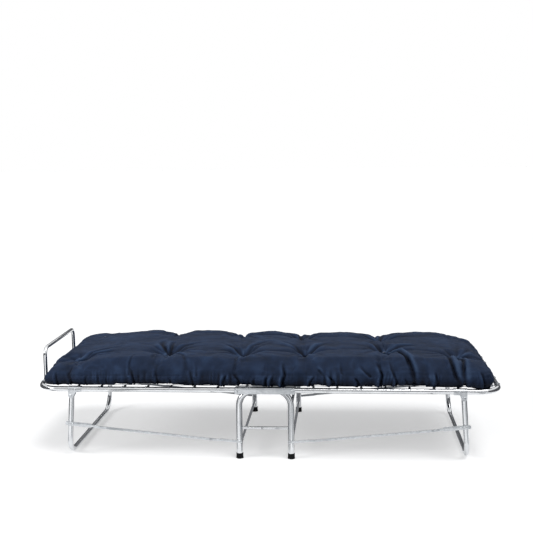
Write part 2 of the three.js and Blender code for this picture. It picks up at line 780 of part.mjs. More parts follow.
// ---------------------------------------------------------------- mattress
function mattressBlock(x0, x1, bottom) {
  const outline = roundedRectangle(
    x0,
    -MATTRESS_WIDTH / 2,
    x1,
    MATTRESS_WIDTH / 2,
    MATTRESS_CORNER,
  );
  const geometry = new THREE.ExtrudeGeometry(outline, {
    depth: MATTRESS_TOP - bottom,
    bevelEnabled: false,
    curveSegments: 3,
  });
  return geometry.translate(0, 0, bottom);
}

function buildFrames() {
  ENDS.forEach((end) => {
    const whole = quarter(end.x, 1);
    SIDES.forEach((side) => {
      const group = quarter(end.x, side.y);
      const tube = frameTube(side.name === "far");
      add(group, `${end.name}_frame_tube_${side.name}`, tube, CHROME);
      add(group, `${end.name}_leg_bracket_${side.name}`, legBracket(), ZINC);
      const innerSeat = RAIL_Y - BRACKET_OUTER_Y - CLEARANCE;
      const outerSeat = RAIL_Y + BRACKET_OUTER_Y + CLEARANCE;
      const pin = rivet(LEG_PIVOT_X, LEG_PIVOT_Z, innerSeat, outerSeat);
      add(group, `${end.name}_leg_pin_${side.name}`, pin, ZINC);
    });
    add(whole, `mesh_${end.name}`, frameMesh(), WIRE);
    const hookTop = FRAME_TUBE.radius + CLEARANCE + 2 * WIRE_RADIUS;
    const seat = AXIS_HEIGHT + Math.max(hookTop, BRACKET_OUTER_Y) + CLEARANCE;
    const endX = END_BAR_X - HOOP_TUBE.radius - MATTRESS_END_GAP;
    const block = mattressBlock(PIVOT_X + MATTRESS_HINGE_GAP, endX, seat);
    add(whole, `mattress_${end.name}`, block, FABRIC);
  });
  add(quarter(ENDS[0].x, 1), "head_hoop", hoop(), CHROME);
  add(bed, "mesh_middle", middleMesh(), WIRE);
  const middleReach = PIVOT_X + MATTRESS_HINGE_GAP - CLEARANCE;
  const middleSeat = AXIS_HEIGHT + PLATE_ABOVE_AXIS + CLEARANCE;
  const middle = mattressBlock(-middleReach, middleReach, middleSeat);
  add(bed, "mattress_middle", middle, FABRIC);
}

// ---------------------------------------------------------------- end legs and their stays
// U-shaped end leg, modelled hanging straight down from its pivot.
function endLeg() {
  const roundRadius = LEG_TUBE.radius + END_ROUNDING;
  const corners = [
    new THREE.Vector3(0, RAIL_Y, roundRadius + 1),
    new THREE.Vector3(0, RAIL_Y, -LEG_LENGTH),
    new THREE.Vector3(0, -RAIL_Y, -LEG_LENGTH),
    new THREE.Vector3(0, -RAIL_Y, roundRadius + 1),
  ];
  const reach = RAIL_Y + 2 * LEG_TUBE.radius;
  const envelope = sheet(roundEnded(2 * LEG_LENGTH, roundRadius), -reach, reach, 6);
  envelope.rotateY(Math.PI / 2);
  const trimmed = common(bentTube(corners, LEG_TUBE), envelope);
  const bore = boreFor(RIVET.radius, 8);
  const bores = SIDES.flatMap((side) => {
    const inner = side.y * (RAIL_Y - LEG_TUBE.radius - 1);
    const outer = side.y * (RAIL_Y + LEG_TUBE.radius + 1);
    return [0, -LINK_REACH].map((z) => crossPin(0, z, bore, inner, outer, 8));
  });
  return cut(trimmed, bores);
}

// Slotted link from the arm of an end leg, modelled along +X from its rivet.
function slottedLink() {
  const half = LINK_WIDTH / 2;
  const slotHalf = RIVET.radius + 0.5;
  const slotStart = SLOT_REST;
  const slotEnd = SLOT_REST + SLOT_TRAVEL;
  const end = slotEnd + slotHalf + SLOT_END_WALL - half;
  const outline = new THREE.Shape();
  outline.absarc(-LINK_TAIL, 0, half, Math.PI / 2, 1.5 * Math.PI, false);
  outline.absarc(end, 0, half, -Math.PI / 2, Math.PI / 2, false);
  const pinHole = new THREE.Path();
  pinHole.absarc(0, 0, boreFor(RIVET.radius, 8), 0, 2 * Math.PI, true);
  const slot = new THREE.Path();
  slot.absarc(slotEnd, 0, slotHalf, Math.PI / 2, -Math.PI / 2, true);
  slot.absarc(slotStart, 0, slotHalf, -Math.PI / 2, -1.5 * Math.PI, true);
  outline.holes.push(pinHole, slot);
  return sheet(outline, LINK_Y, LINK_Y + STRAP_SHEET, 4);
}

// Joggled strap, modelled along +X from its pivot on the arch leg to the slot rivet.
function strap() {
  const half = STRAP_WIDTH / 2;
  const joggleEnd = STRAP_JOGGLE.start + STRAP_JOGGLE.run;
  const returnEnd = STRAP_LENGTH - STRAP_END_JOGGLE;
  const returnStart = returnEnd - STRAP_JOGGLE.run;
  const centre = [
    [-half, STRAP_LEG_Y],
    [STRAP_JOGGLE.start, STRAP_LEG_Y],
    [joggleEnd, STRAP_OUTER_Y],
    [returnStart, STRAP_OUTER_Y],
    [returnEnd, STRAP_SLOT_Y],
    [STRAP_LENGTH + half, STRAP_SLOT_Y],
  ];
  const side = new THREE.Shape();
  centre.forEach(([x, y]) => (x < 0 ? side.moveTo(x, y) : side.lineTo(x, y)));
  centre.reverse().forEach(([x, y]) => side.lineTo(x, y + STRAP_SHEET));
  const flat = new THREE.ExtrudeGeometry(side, { depth: STRAP_WIDTH, bevelEnabled: false });
  flat.translate(0, 0, -half);

  const plan = new THREE.Shape();
  plan.absarc(0, 0, half, Math.PI / 2, 1.5 * Math.PI, false);
  plan.absarc(STRAP_LENGTH, 0, half, -Math.PI / 2, Math.PI / 2, false);
  const farFace = STRAP_OUTER_Y + STRAP_SHEET + 1;
  const rounded = common(flat, sheet(plan, STRAP_LEG_Y - 1, farFace, 4));
  const drilled = cut(rounded, [
    crossPin(0, 0, boreFor(RIVET.radius, 8), STRAP_LEG_Y - 1, farFace, 8),
  ]);
  const seat = STRAP_SLOT_Y + STRAP_SHEET;
  const head = turnedPin(
    STRAP_LENGTH,
    0,
    [
      [0, seat - 0.5],
      [RIVET.headRadius * 0.85, seat - 0.5],
      [RIVET.headRadius * 0.85, seat + 0.6],
      [RIVET.headRadius * 0.6, seat + RIVET.headHeight],
      [0, seat + RIVET.headHeight],
    ],
    8,
  );
  return join([drilled, head]);
}

function buildLegs() {
  ENDS.forEach((end) => {
    const leg = add(quarter(end.x, 1), `${end.name}_leg_tube`, endLeg(), CHROME);
    leg.position.set(LEG_PIVOT_X, 0, LEG_PIVOT_Z);
    leg.rotation.y = -LEG_SPLAY;
    SIDES.forEach((side) => {
      const group = quarter(end.x, side.y);
      const place = `${end.name}_${side.name}`;
      const innerSeat = RAIL_Y - LEG_TUBE.radius - CLEARANCE;
      const outerSeat = LINK_Y + STRAP_SHEET + CLEARANCE;
      const pin = rivet(LINK_PIN.x, LINK_PIN.y, innerSeat, outerSeat);
      add(group, `link_rivet_${place}`, pin, ZINC);

      const link = add(group, `slotted_link_${place}`, slottedLink(), ZINC);
      link.position.set(LINK_PIN.x, 0, LINK_PIN.y);
      link.rotation.y = Math.PI - STRAP_ANGLE;

      const stay = add(group, `stay_strap_${place}`, strap(), ZINC);
      stay.position.set(STRAP_PIVOT.x, 0, STRAP_PIVOT.y);
      stay.rotation.y = -STRAP_ANGLE;
    });
  });
}

buildStand();
buildFrames();
buildLegs();

export default bed;
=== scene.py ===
"""Looks of the folding guest bed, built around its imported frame.

Metres, +Z up, +X towards the foot end, origin on the floor under the middle of the bed. A piece is
modelled at the far side of the foot end and mirrored to the other end and the near side.
"""

import json
import math

import bpy
import numpy as np
from mathutils import Matrix, Vector

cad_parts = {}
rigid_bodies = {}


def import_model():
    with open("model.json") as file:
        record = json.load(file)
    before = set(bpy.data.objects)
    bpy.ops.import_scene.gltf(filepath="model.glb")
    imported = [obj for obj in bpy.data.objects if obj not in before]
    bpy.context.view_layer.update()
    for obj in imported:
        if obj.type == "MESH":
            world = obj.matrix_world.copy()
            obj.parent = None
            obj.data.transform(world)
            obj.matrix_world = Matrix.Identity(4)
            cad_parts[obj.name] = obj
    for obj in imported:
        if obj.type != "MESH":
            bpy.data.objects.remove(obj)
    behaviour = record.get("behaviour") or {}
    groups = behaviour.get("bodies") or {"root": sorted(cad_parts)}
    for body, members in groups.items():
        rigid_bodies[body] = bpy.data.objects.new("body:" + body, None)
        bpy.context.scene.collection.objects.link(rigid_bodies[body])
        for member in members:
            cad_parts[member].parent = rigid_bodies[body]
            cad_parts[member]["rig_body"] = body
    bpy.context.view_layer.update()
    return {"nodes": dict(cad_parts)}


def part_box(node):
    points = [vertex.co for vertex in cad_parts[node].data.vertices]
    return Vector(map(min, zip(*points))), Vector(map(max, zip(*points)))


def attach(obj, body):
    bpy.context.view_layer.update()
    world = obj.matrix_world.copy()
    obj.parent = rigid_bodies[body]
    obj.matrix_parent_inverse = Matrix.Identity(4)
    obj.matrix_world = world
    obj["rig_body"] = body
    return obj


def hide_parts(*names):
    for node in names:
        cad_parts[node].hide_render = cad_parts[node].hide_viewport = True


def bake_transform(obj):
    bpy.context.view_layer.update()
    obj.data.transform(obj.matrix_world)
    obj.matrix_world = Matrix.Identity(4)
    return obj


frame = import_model()

MM = 0.001
X, Y, Z = np.eye(3)
ENDS = {"head": -1, "foot": 1}
SIDES = {"near": -1, "far": 1}


# ------------------------------------------------------------ places and sizes taken from the frame
def extent(node):
    """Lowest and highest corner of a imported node, as arrays."""
    low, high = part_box(node)
    return np.array(low), np.array(high)


def middle(node):
    return sum(extent(node)) / 2


ARCH_LOW, ARCH_HIGH = extent("arch_far")
ARCH_RADIUS = (ARCH_HIGH[1] - ARCH_LOW[1]) / 2
RAIL_Y = middle("arch_far")[1]
LEG_X = ARCH_HIGH[0] - ARCH_RADIUS
AXIS_Z = ARCH_HIGH[2] - ARCH_RADIUS
TUBE_LOW, TUBE_HIGH = extent("foot_frame_tube_far")
TUBE_RADIUS = (TUBE_HIGH[2] - TUBE_LOW[2]) / 2
END_BAR_X = TUBE_HIGH[0] - TUBE_RADIUS
PIVOT_X = middle("pivot_bolt_foot_far")[0]
LEG_PIVOT = middle("foot_leg_pin_far")
LINK_PIN = middle("link_rivet_foot_far")
STRAP_PIN = middle("strap_rivet_foot_far")
HOOP_HIGH = extent("head_hoop")[1]
BAR_LOW, BAR_HIGH = extent("side_bar_far")
BAR_RADIUS = (BAR_HIGH[2] - BAR_LOW[2]) / 2

# sizes that the frame's boxes don't show
ROUND_END = 11.5 * MM
ARCH_BEND, FRAME_BEND, LEG_BEND, HOOP_BEND = 64 * MM, 90 * MM, 70 * MM, 30 * MM
HOOP_RADIUS = 8 * MM
LEG_SPLAY = math.radians(4)
CLEARANCE = 0.3 * MM
WIRE = 1.3 * MM
COLUMN_SPACING = 54 * MM
COLUMNS = 11
COLUMN_Z = 1.0 * MM  # above the rail axis; the row wires lie as far below it
SPRING_GROUPS = (2, 2, 3, 2, 2)
SHARP_EDGE = math.radians(40)


# ------------------------------------------------------------ surfaces from arrays
def unit(v):
    return v / np.linalg.norm(v, axis=-1, keepdims=True)


def smooth(t):
    """0 below 0, 1 above 1, and t^2 (3 - 2 t) between."""
    t = np.clip(t, 0, 1)
    return t * t * (3 - 2 * t)


def grid_faces(rows, columns, wrap_rows=False, wrap_columns=True):
    """Four-cornered faces between neighbours of a grid that is stored row by row."""
    r = np.arange(rows if wrap_rows else rows - 1)
    c = np.arange(columns if wrap_columns else columns - 1)
    r, c = np.meshgrid(r * columns, c, indexing="ij")
    next_r, next_c = (r + columns) % (rows * columns), (c + 1) % columns
    return np.stack([r + c, r + next_c, next_r + next_c, next_r + c], axis=-1).reshape(-1, 4)


def rim_of(index):
    """Once round the edge of a grid of indices."""
    return np.concatenate([index[0, :-1], index[:-1, -1], index[-1, :0:-1], index[:0:-1, 0]])


def closed_rings(rings):
    """A tube of rings, shape (rows, sides, 3), its ends closed by fans about their rings' means."""
    rows, sides, _ = rings.shape
    points = np.concatenate([rings.reshape(-1, 3), rings[0].mean(0)[None], rings[-1].mean(0)[None]])
    k = np.arange(sides)
    following, last_row = (k + 1) % sides, (rows - 1) * sides
    start = np.stack([np.full(sides, rows * sides), following, k], axis=-1)
    end = np.stack([np.full(sides, rows * sides + 1), last_row + k, last_row + following], axis=-1)
    return points, [grid_faces(rows, sides), np.concatenate([start, end])]


def sweep(centres, sideways, upward, radii, sides):
    """Rings about the centres: centre + radius * (cos a * sideways + sin a * upward)."""
    a = np.linspace(0, 2 * np.pi, sides, endpoint=False)[:, None]
    sideways, upward = (np.broadcast_to(v, centres.shape)[:, None] for v in (sideways, upward))
    ring = np.cos(a) * sideways + np.sin(a) * upward
    return centres[:, None] + np.broadcast_to(radii, len(centres))[:, None, None] * ring


def rings_along(points, directions, upward, radii, sides):
    """Rings square to a path, with upward as one of their two axes."""
    return sweep(points, np.cross(upward, directions), upward, radii, sides)


def bent_path(corners, bend, step=math.radians(5)):
    """Points and directions of straight runs through the corners, with an arc at each bend."""
    corners = np.asarray(corners, float)
    runs = unit(np.diff(corners, axis=0))
    points, directions = [corners[:1]], [runs[:1]]
    for corner, before, after in zip(corners[1:-1], runs[:-1], runs[1:]):
        angle = math.acos(float(before @ after))
        inward = unit(after - before * (before @ after))
        turned_by = np.linspace(0, angle, max(2, round(angle / step)) + 1)[:, None]
        start = corner - before * bend * math.tan(angle / 2)
        arc = np.sin(turned_by) * before + (1 - np.cos(turned_by)) * inward
        points.append(start + bend * arc)
        directions.append(np.cos(turned_by) * before + np.sin(turned_by) * inward)
    return np.concatenate([*points, corners[-1:]]), np.concatenate([*directions, runs[-1:]])


def bent_tube(corners, bend, radius, normal, sides=32):
    """A bent tube that lies in the plane with that normal."""
    return closed_rings(rings_along(*bent_path(corners, bend), normal, radius, sides))


def rod(start, end, radius=WIRE, sides=8):
    """A straight round bar or wire."""
    centres = np.stack([start, end]).astype(float)
    along = unit(centres[1] - centres[0])
    upward = unit(np.cross(along, X if abs(along[0]) < 0.7 else Y))
    return closed_rings(rings_along(centres, along, upward, radius, sides))


def turned(outline, centre, axis=Y, sides=32):
    """A body turned about an axis through centre, from (radius, height) points, low end first."""
    outline = np.asarray(outline, float)
    side = X if abs(axis[0]) < 0.5 else Y
    centres = centre + outline[:, 1:] * axis
    return closed_rings(sweep(centres, side, np.cross(axis, side), outline[:, 0], sides))


def joined(parts):
    """Several bodies as one: (points, faces) with the corner numbers moved along."""
    points, faces, count = [], [], 0
    for some_points, some_faces in parts:
        points.append(some_points)
        faces += [f + count for f in some_faces]
        count += len(some_points)
    return np.concatenate(points), faces


def mirrored(body, x=1, y=1):
    """The body at another end or side of the bed, with its faces turned back outwards."""
    points, faces = body
    if x * y < 0:
        faces = [f[:, ::-1] for f in faces]
    return points * (x, y, 1), faces


def leaning(points, angle, pivot=np.zeros(3)):
    """Points turned about a line along Y through pivot; a positive angle turns +Z towards +X."""
    c, s = math.cos(angle), math.sin(angle)
    x, y, z = np.moveaxis(points - pivot, -1, 0)
    return np.stack([x * c + z * s, y, z * c - x * s], axis=-1) + pivot


def new_object(name, body, look, sharp=None):
    """A smooth mesh object from (points, faces), with its edges sharp from that angle up."""
    points, faces = body
    mesh = bpy.data.meshes.new(name)
    mesh.vertices.add(len(points))
    mesh.vertices.foreach_set("co", np.ascontiguousarray(points, np.float32).ravel())
    corners = np.concatenate([f.ravel() for f in faces])
    sizes = np.concatenate([np.full(len(f), f.shape[1]) for f in faces])
    mesh.loops.add(len(corners))
    mesh.loops.foreach_set("vertex_index", corners.astype(np.int32))
    mesh.polygons.add(len(sizes))
    mesh.polygons.foreach_set("loop_start", (np.cumsum(sizes) - sizes).astype(np.int32))
    mesh.update(calc_edges=True)
    mesh.validate()
    mesh.shade_smooth()
    if sharp:
        mesh.set_sharp_from_angle(angle=sharp)
    mesh.materials.append(look)
    made = bpy.data.objects.new(name, mesh)
    bpy.context.scene.collection.objects.link(made)
    return made


def read(items, key, width=1, kind=np.int32):
    """One value, or a few, of every item of a mesh, as one row of an array each."""
    values = np.empty(len(items) * width, kind)
    items.foreach_get(key, values)
    return values.reshape(-1, width)


# ------------------------------------------------------------ materials
def linear(hex_colour):
    """An sRGB colour such as #1c2740 as the linear one that the shaders take."""
    channels = [int(hex_colour[i : i + 2], 16) / 255 for i in (1, 3, 5)]
    return (*[c / 12.92 if c <= 0.04045 else ((c + 0.055) / 1.055) ** 2.4 for c in channels], 1.0)


def add(tree, kind, inputs=(), stops=(), **settings):
    """A node with its settings, the stops of its ramp and its links. An input is a value, another
    node's output, or another node, which stands for its first output."""
    made = tree.nodes.new("ShaderNode" + kind)
    for key, value in settings.items():
        setattr(made, key, value)
    for _ in stops[2:]:
        made.color_ramp.elements.new(1.0)
    for number, (position, value) in enumerate(stops):
        element = made.color_ramp.elements[number]
        element.position = position
        element.color = linear(value) if isinstance(value, str) else (value, value, value, 1.0)
    for place, value in dict(inputs).items():
        if isinstance(value, bpy.types.Node):
            value = value.outputs[0]
        if isinstance(value, bpy.types.NodeSocket):
            tree.links.new(value, made.inputs[place])
        else:
            made.inputs[place].default_value = value
    return made


def emptied(owner):
    """The cleared node tree of a material or world."""
    owner.use_nodes = True
    owner.node_tree.nodes.clear()
    return owner.node_tree


def material(surface):
    """A material named after the function that gives its surface's inputs, which is handed the node
    tree and the place in metres."""
    made = bpy.data.materials.new(surface.__name__)
    tree = emptied(made)
    inputs = surface(tree, add(tree, "TexCoord").outputs["Object"])
    add(tree, "OutputMaterial", {"Surface": add(tree, "BsdfPrincipled", inputs)})
    return made


def coated(tree, pattern, colours, roughness, relief, distance, strength, **constants):
    """A surface's inputs: colour and roughness follow one pattern, and its fine relief another."""
    return {
        **constants,
        "Base Color": add(tree, "ValToRGB", {0: pattern}, colours),
        "Roughness": add(tree, "ValToRGB", {0: pattern}, roughness),
        "Normal": add(tree, "Bump", {"Height": relief, "Distance": distance, "Strength": strength}),
    }


def bright_chrome_tube(tree, place):
    """Decorative chromium on drawn steel tube: a near mirror of pale grey, with the long faint
    waves of the drawn tube under the plating, and a film of handling that dulls it in patches."""
    film = add(tree, "TexNoise", {"Vector": place, "Scale": 1 / (60 * MM), "Detail": 3.0})
    waves = add(tree, "TexNoise", {"Vector": place, "Scale": 1 / (18 * MM), "Detail": 1.0})
    colours, roughness = [(0.3, "#cfd1d4"), (0.7, "#dfe1e3")], [(0.3, 0.19), (0.75, 0.1)]
    return coated(tree, film, colours, roughness, waves, 0.25 * MM, 0.35, Metallic=1.0)


def zinc_plated_sheet(tree, place):
    """Bright zinc on pressed steel sheet: a satin grey with rolling lines 2 mm apart and
    cloudy passivation, darker where the salts dried."""
    clouds = {"Vector": place, "Scale": 1 / (14 * MM), "Detail": 4.0, "Roughness": 0.6}
    cloud = add(tree, "TexNoise", clouds)
    drawn_out = add(tree, "Mapping", {"Vector": place, "Scale": (60, 500, 500)})
    rolled = add(tree, "TexNoise", {"Vector": drawn_out, "Scale": 1.0, "Detail": 1.0})
    colours, roughness = [(0.3, "#b4b8bc"), (0.7, "#ced1d4")], [(0.25, 0.42), (0.75, 0.27)]
    return coated(tree, cloud, colours, roughness, rolled, 0.05 * MM, 0.2, Metallic=1.0)


def drawn_spring_wire(tree, place):
    """Galvanised drawn wire: dull cloudy grey, with drawing lines."""
    cloud = add(tree, "TexNoise", {"Vector": place, "Scale": 1 / (20 * MM), "Detail": 3.0})
    lines = add(tree, "TexNoise", {"Vector": place, "Scale": 1 / (1.2 * MM)})
    colours, roughness = [(0.3, "#8b8f94"), (0.7, "#aeb2b7")], [(0.3, 0.5), (0.7, 0.36)]
    return coated(tree, cloud, colours, roughness, lines, 0.04 * MM, 0.4, Metallic=1.0)


def black_moulded_rubber(tree, place):
    """Vulcanised rubber from a blasted mould: matt black with a fine grain and paler dust."""
    dusty = {"Vector": place, "Scale": 1 / (9 * MM), "Detail": 4.0, "Roughness": 0.65}
    dust = add(tree, "TexNoise", dusty)
    grain = add(tree, "TexNoise", {"Vector": place, "Scale": 1 / (0.9 * MM)})
    colours, roughness = [(0.35, "#08080a"), (0.8, "#151618")], [(0.3, 0.62), (0.8, 0.85)]
    dull = {"IOR": 1.52, "Specular IOR Level": 0.15}
    return coated(tree, dust, colours, roughness, grain, 0.1 * MM, 0.5, **dull)


def navy_cotton_drill(tree, place):
    """Navy cotton and polyester drill: its diagonal weave drawn coarse enough to show, with slubs,
    a soft bloom of fibre ends at the edges, a painted highlight where the cloth stands high, and
    painted shade down in its folds, from the height of the cover that each half carries."""
    yarns = {"Vector": place, "Scale": 1 / (6 * MM), "Distortion": 1.2, "Detail": 1.0}
    warp = add(tree, "TexWave", yarns, wave_type="BANDS", bands_direction="DIAGONAL").outputs["Fac"]
    drawn_out = add(tree, "Mapping", {"Vector": place, "Scale": (60, 400, 400)})
    slub = add(tree, "TexNoise", {"Vector": drawn_out, "Scale": 1.0})
    shades = {"Vector": place, "Scale": 1 / (90 * MM), "Detail": 3.0, "Roughness": 0.6}
    shade = add(tree, "TexNoise", shades)
    puckers = add(tree, "TexNoise", {"Vector": place, "Scale": 1 / (11 * MM), "Detail": 3.0})
    clouded = add(tree, "Math", {0: shade, 1: slub}, operation="ADD")
    cloud = {"Value": clouded, "From Min": 0.6, "From Max": 1.6, "To Min": -0.13, "To Max": 0.13}
    # the relief attribute paints shade and highlight into the colour: darker low in folds, pits and
    # walls, paler on the heights
    relief = add(tree, "Attribute", attribute_name="relief").outputs["Fac"]
    depth = add(tree, "Math", {0: relief, 1: add(tree, "MapRange", cloud)}, operation="ADD")
    dark, pale = [(0.0, "#0a1120"), (0.3, "#142034")], [(0.7, "#25354f"), (1.0, "#364864")]
    creased = add(tree, "Bump", {"Height": puckers, "Distance": 1 * MM, "Strength": 0.5})
    woven = {"Height": warp, "Distance": 0.25 * MM, "Strength": 0.35, "Normal": creased}
    slubbed = {"Height": slub, "Distance": 0.3 * MM, "Strength": 0.3}
    slubbed["Normal"] = add(tree, "Bump", woven)
    return {
        "Sheen Weight": 0.05,
        "Sheen Roughness": 0.4,
        "Sheen Tint": linear("#7f8ca8"),
        "Specular IOR Level": 0.12,
        "Base Color": add(tree, "ValToRGB", {0: depth}, [*dark, (0.5, "#1b283f"), *pale]),
        "Roughness": add(tree, "ValToRGB", {0: slub}, [(0.2, 0.62), (0.8, 0.78)]),
        "Normal": add(tree, "Bump", slubbed),
    }


def waxed_linen_thread(tree, place):
    """Twisted tufting thread: grey blue, matt, with its twist as fine slanting ridges."""
    ridges = {"Vector": place, "Scale": 1 / (4 * MM)}
    twist = add(tree, "TexWave", ridges, bands_direction="DIAGONAL").outputs["Fac"]
    colours, roughness = [(0.2, "#4e5566"), (0.8, "#848b9b")], [(0.0, 0.9), (1.0, 0.75)]
    return coated(tree, twist, colours, roughness, twist, 0.2 * MM, 0.6)


CHROME = material(bright_chrome_tube)
ZINC = material(zinc_plated_sheet)
SPRING_WIRE = material(drawn_spring_wire)
RUBBER = material(black_moulded_rubber)
DRILL = material(navy_cotton_drill)
THREAD = material(waxed_linen_thread)


def stand_in(node, body, look, x=1, y=1):
    """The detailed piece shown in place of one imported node, riding on the same body as it."""
    made = new_object(node + "_piece", mirrored(body, x, y), look, SHARP_EDGE)
    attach(made, frame["nodes"][node]["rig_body"])
    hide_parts(node)


# ------------------------------------------------------------ centre stand
def arch():
    """One bent tube: up, along at the height of the hinge axes and down again."""
    foot_z = ARCH_LOW[2]
    corners = [(LEG_X, foot_z), (LEG_X, AXIS_Z), (-LEG_X, AXIS_Z), (-LEG_X, foot_z)]
    return bent_tube([(x, RAIL_Y, z) for x, z in corners], ARCH_BEND, ARCH_RADIUS, Y)


def welded_bar(start, end):
    """A bar between two arch tubes, flaring into a weld bead over its last millimetres at each end:
    radius * (1 + 0.45 * (1 - s)^2), s from 0 inside the tube's wall to 1 at the bead's end."""
    start, end = np.asarray(start, float), np.asarray(end, float)
    along = unit(end - start)
    bead, sunk = 5 * MM, 1.5 * MM
    s = np.linspace(0, 1, 6)
    offsets = ARCH_RADIUS - sunk + s * bead
    places = np.concatenate([offsets, np.linalg.norm(end - start) - offsets[::-1]])
    flare = BAR_RADIUS * (1 + 0.45 * (1 - s) ** 2)
    radii = np.concatenate([flare, flare[::-1]])
    upward = unit(np.cross(along, Z))
    return closed_rings(rings_along(start + places[:, None] * along, along, upward, radii, 24))


def rubber_foot():
    """Ferrule turned from its profile: flared sole, slightly tapered wall, beaded rim, open top."""
    low, high = extent("rubber_foot_foot_far")
    sole, height = (high[0] - low[0]) / 2, high[2]
    bore, floor = ARCH_RADIUS + CLEARANCE, 4.7 * MM
    rim = sole - 1.3 * MM
    a = np.linspace(-0.5, 1.0, 7)[:, None] * np.pi / 2
    rim_x, rim_z = rim - 0.9 * MM + 1.1 * MM * np.cos(a), height - 1.4 * MM + 1.2 * MM * np.sin(a)
    sole_edge = [
        (0.0, 0.6 * MM), (sole - 3.5 * MM, 0.6 * MM), (sole - 2.8 * MM, 0.0),
        (sole - 0.9 * MM, 0.0), (sole - 0.2 * MM, 0.4 * MM), (sole, 1.2 * MM),
    ]
    wall = [
        (sole - 0.1 * MM, 2.6 * MM), (rim + 0.35 * MM, 4.2 * MM),
        (rim + 0.2 * MM, 6 * MM), (rim - 0.1 * MM, height - 2.6 * MM),
    ]
    inside = [(bore, height - 0.6 * MM), (bore, floor), (0.0, floor)]
    outline = np.concatenate([sole_edge, wall, np.hstack([rim_x, rim_z]), inside])
    return turned(outline, np.array([LEG_X, RAIL_Y, 0.0]), Z, 40)


def rounded_plate(x0, x1, z0, z1, corner, y0, y1):
    """A flat plate in X and Z whose outline is corner centre + (corner - inset) * (cos a, sin a),
    with the inset following a quarter round over each edge."""
    edge, steps = 0.6 * MM, 10
    a = np.concatenate([np.linspace(q, q + 1, steps) for q in range(4)]) * np.pi / 2
    centre_x = np.repeat([x1 - corner, x0 + corner, x0 + corner, x1 - corner], steps)
    centre_z = np.repeat([z1 - corner, z1 - corner, z0 + corner, z0 + corner], steps)
    turn = np.linspace(0, np.pi / 2, 4)
    inset = edge * (1 - np.concatenate([np.sin(turn), np.sin(turn[::-1])]))
    height = np.concatenate([y0 + edge * (1 - np.cos(turn)), y1 - edge * (1 - np.cos(turn[::-1]))])
    x = centre_x + (corner - inset[:, None]) * np.cos(a)
    z = centre_z + (corner - inset[:, None]) * np.sin(a)
    rings = np.stack([x, np.broadcast_to(height[:, None], x.shape), z], axis=-1)[:, ::-1]
    return closed_rings(rings)


def side_plate():
    """Outer side plate with a raised boss round each fold pivot."""
    low, high = extent("side_plate_far_outer")
    sheet, radius, edge = 2.5 * MM, 8.0 * MM, 0.4 * MM
    face = high[1] - sheet
    back = face + 0.5 * MM
    boss = [(0.0, low[1]), (radius - edge, low[1]), (radius, low[1] + edge)]
    boss += [(radius, back), (0.0, back)]
    plate = rounded_plate(low[0], high[0], low[2], high[2], 6 * MM, face, high[1])
    bosses = [turned(boss, np.array([x * PIVOT_X, 0.0, AXIS_Z])) for x in (-1, 1)]
    return joined([plate, *bosses])


def domed_head(radius, height, seat, wall):
    """Outline of a head on seat above its wall: a dome of radius * cos a and height * sin a."""
    a = np.linspace(0, np.pi / 2, 7)[:-1]
    dome = np.stack([radius * np.cos(a), seat + wall + (height - wall) * np.sin(a)], axis=-1)
    return np.concatenate([dome, [(0.0, seat + height)]])


def rivet_head(radius, seat, root, centre):
    """A low domed head on seat whose wall goes down to root, inside the sheet it holds."""
    dome = domed_head(radius, 2.2 * MM, seat, 0.4 * MM)
    return turned(np.concatenate([[(0.0, root), (radius, root)], dome]), centre)


def pivot_bolt():
    """Carriage bolt with a domed head, and a chamfered hexagon nut on its inner end."""
    low, high = extent("pivot_bolt_foot_far")
    centre = np.array([PIVOT_X, 0.0, AXIS_Z])
    head, head_height, shank, edge = 6.8 * MM, 3.2 * MM, 4 * MM, 0.6 * MM
    seat = high[1] - head_height
    nut_low, nut_high, nut = low[1] + 2 * MM, low[1] + 7 * MM, 7.5 * MM
    end = [(0.0, low[1]), (shank - edge, low[1]), (shank, low[1] + edge), (shank, seat)]
    wall = [(head, seat), (head, seat + edge)]
    outline = np.concatenate([end, wall, domed_head(head, head_height, seat, edge)])
    nut_outline = [
        (0.0, nut_low), (6.3 * MM, nut_low), (nut, nut_low + edge),
        (nut, nut_high - 0.3 * MM), (7.1 * MM, nut_high), (0.0, nut_high),
    ]
    return joined([turned(outline, centre), turned(nut_outline, centre, sides=6)])


def rivet(node):
    """Rivet or pin: a domed head over each end of its shank."""
    low, high = extent(node)
    radius, rise, shank = (high[0] - low[0]) / 2, 2.2 * MM, 3 * MM
    a = np.linspace(0, np.pi / 2, 7)
    outer = np.stack([radius * np.cos(a), high[1] - rise + rise * np.sin(a)], axis=-1)
    inner = np.stack([radius * np.cos(a), low[1] + rise - rise * np.sin(a)], axis=-1)[::-1]
    outline = np.concatenate([inner, [(shank, low[1] + rise), (shank, high[1] - rise)], outer])
    return turned(outline, middle(node) * (1, 0, 1))


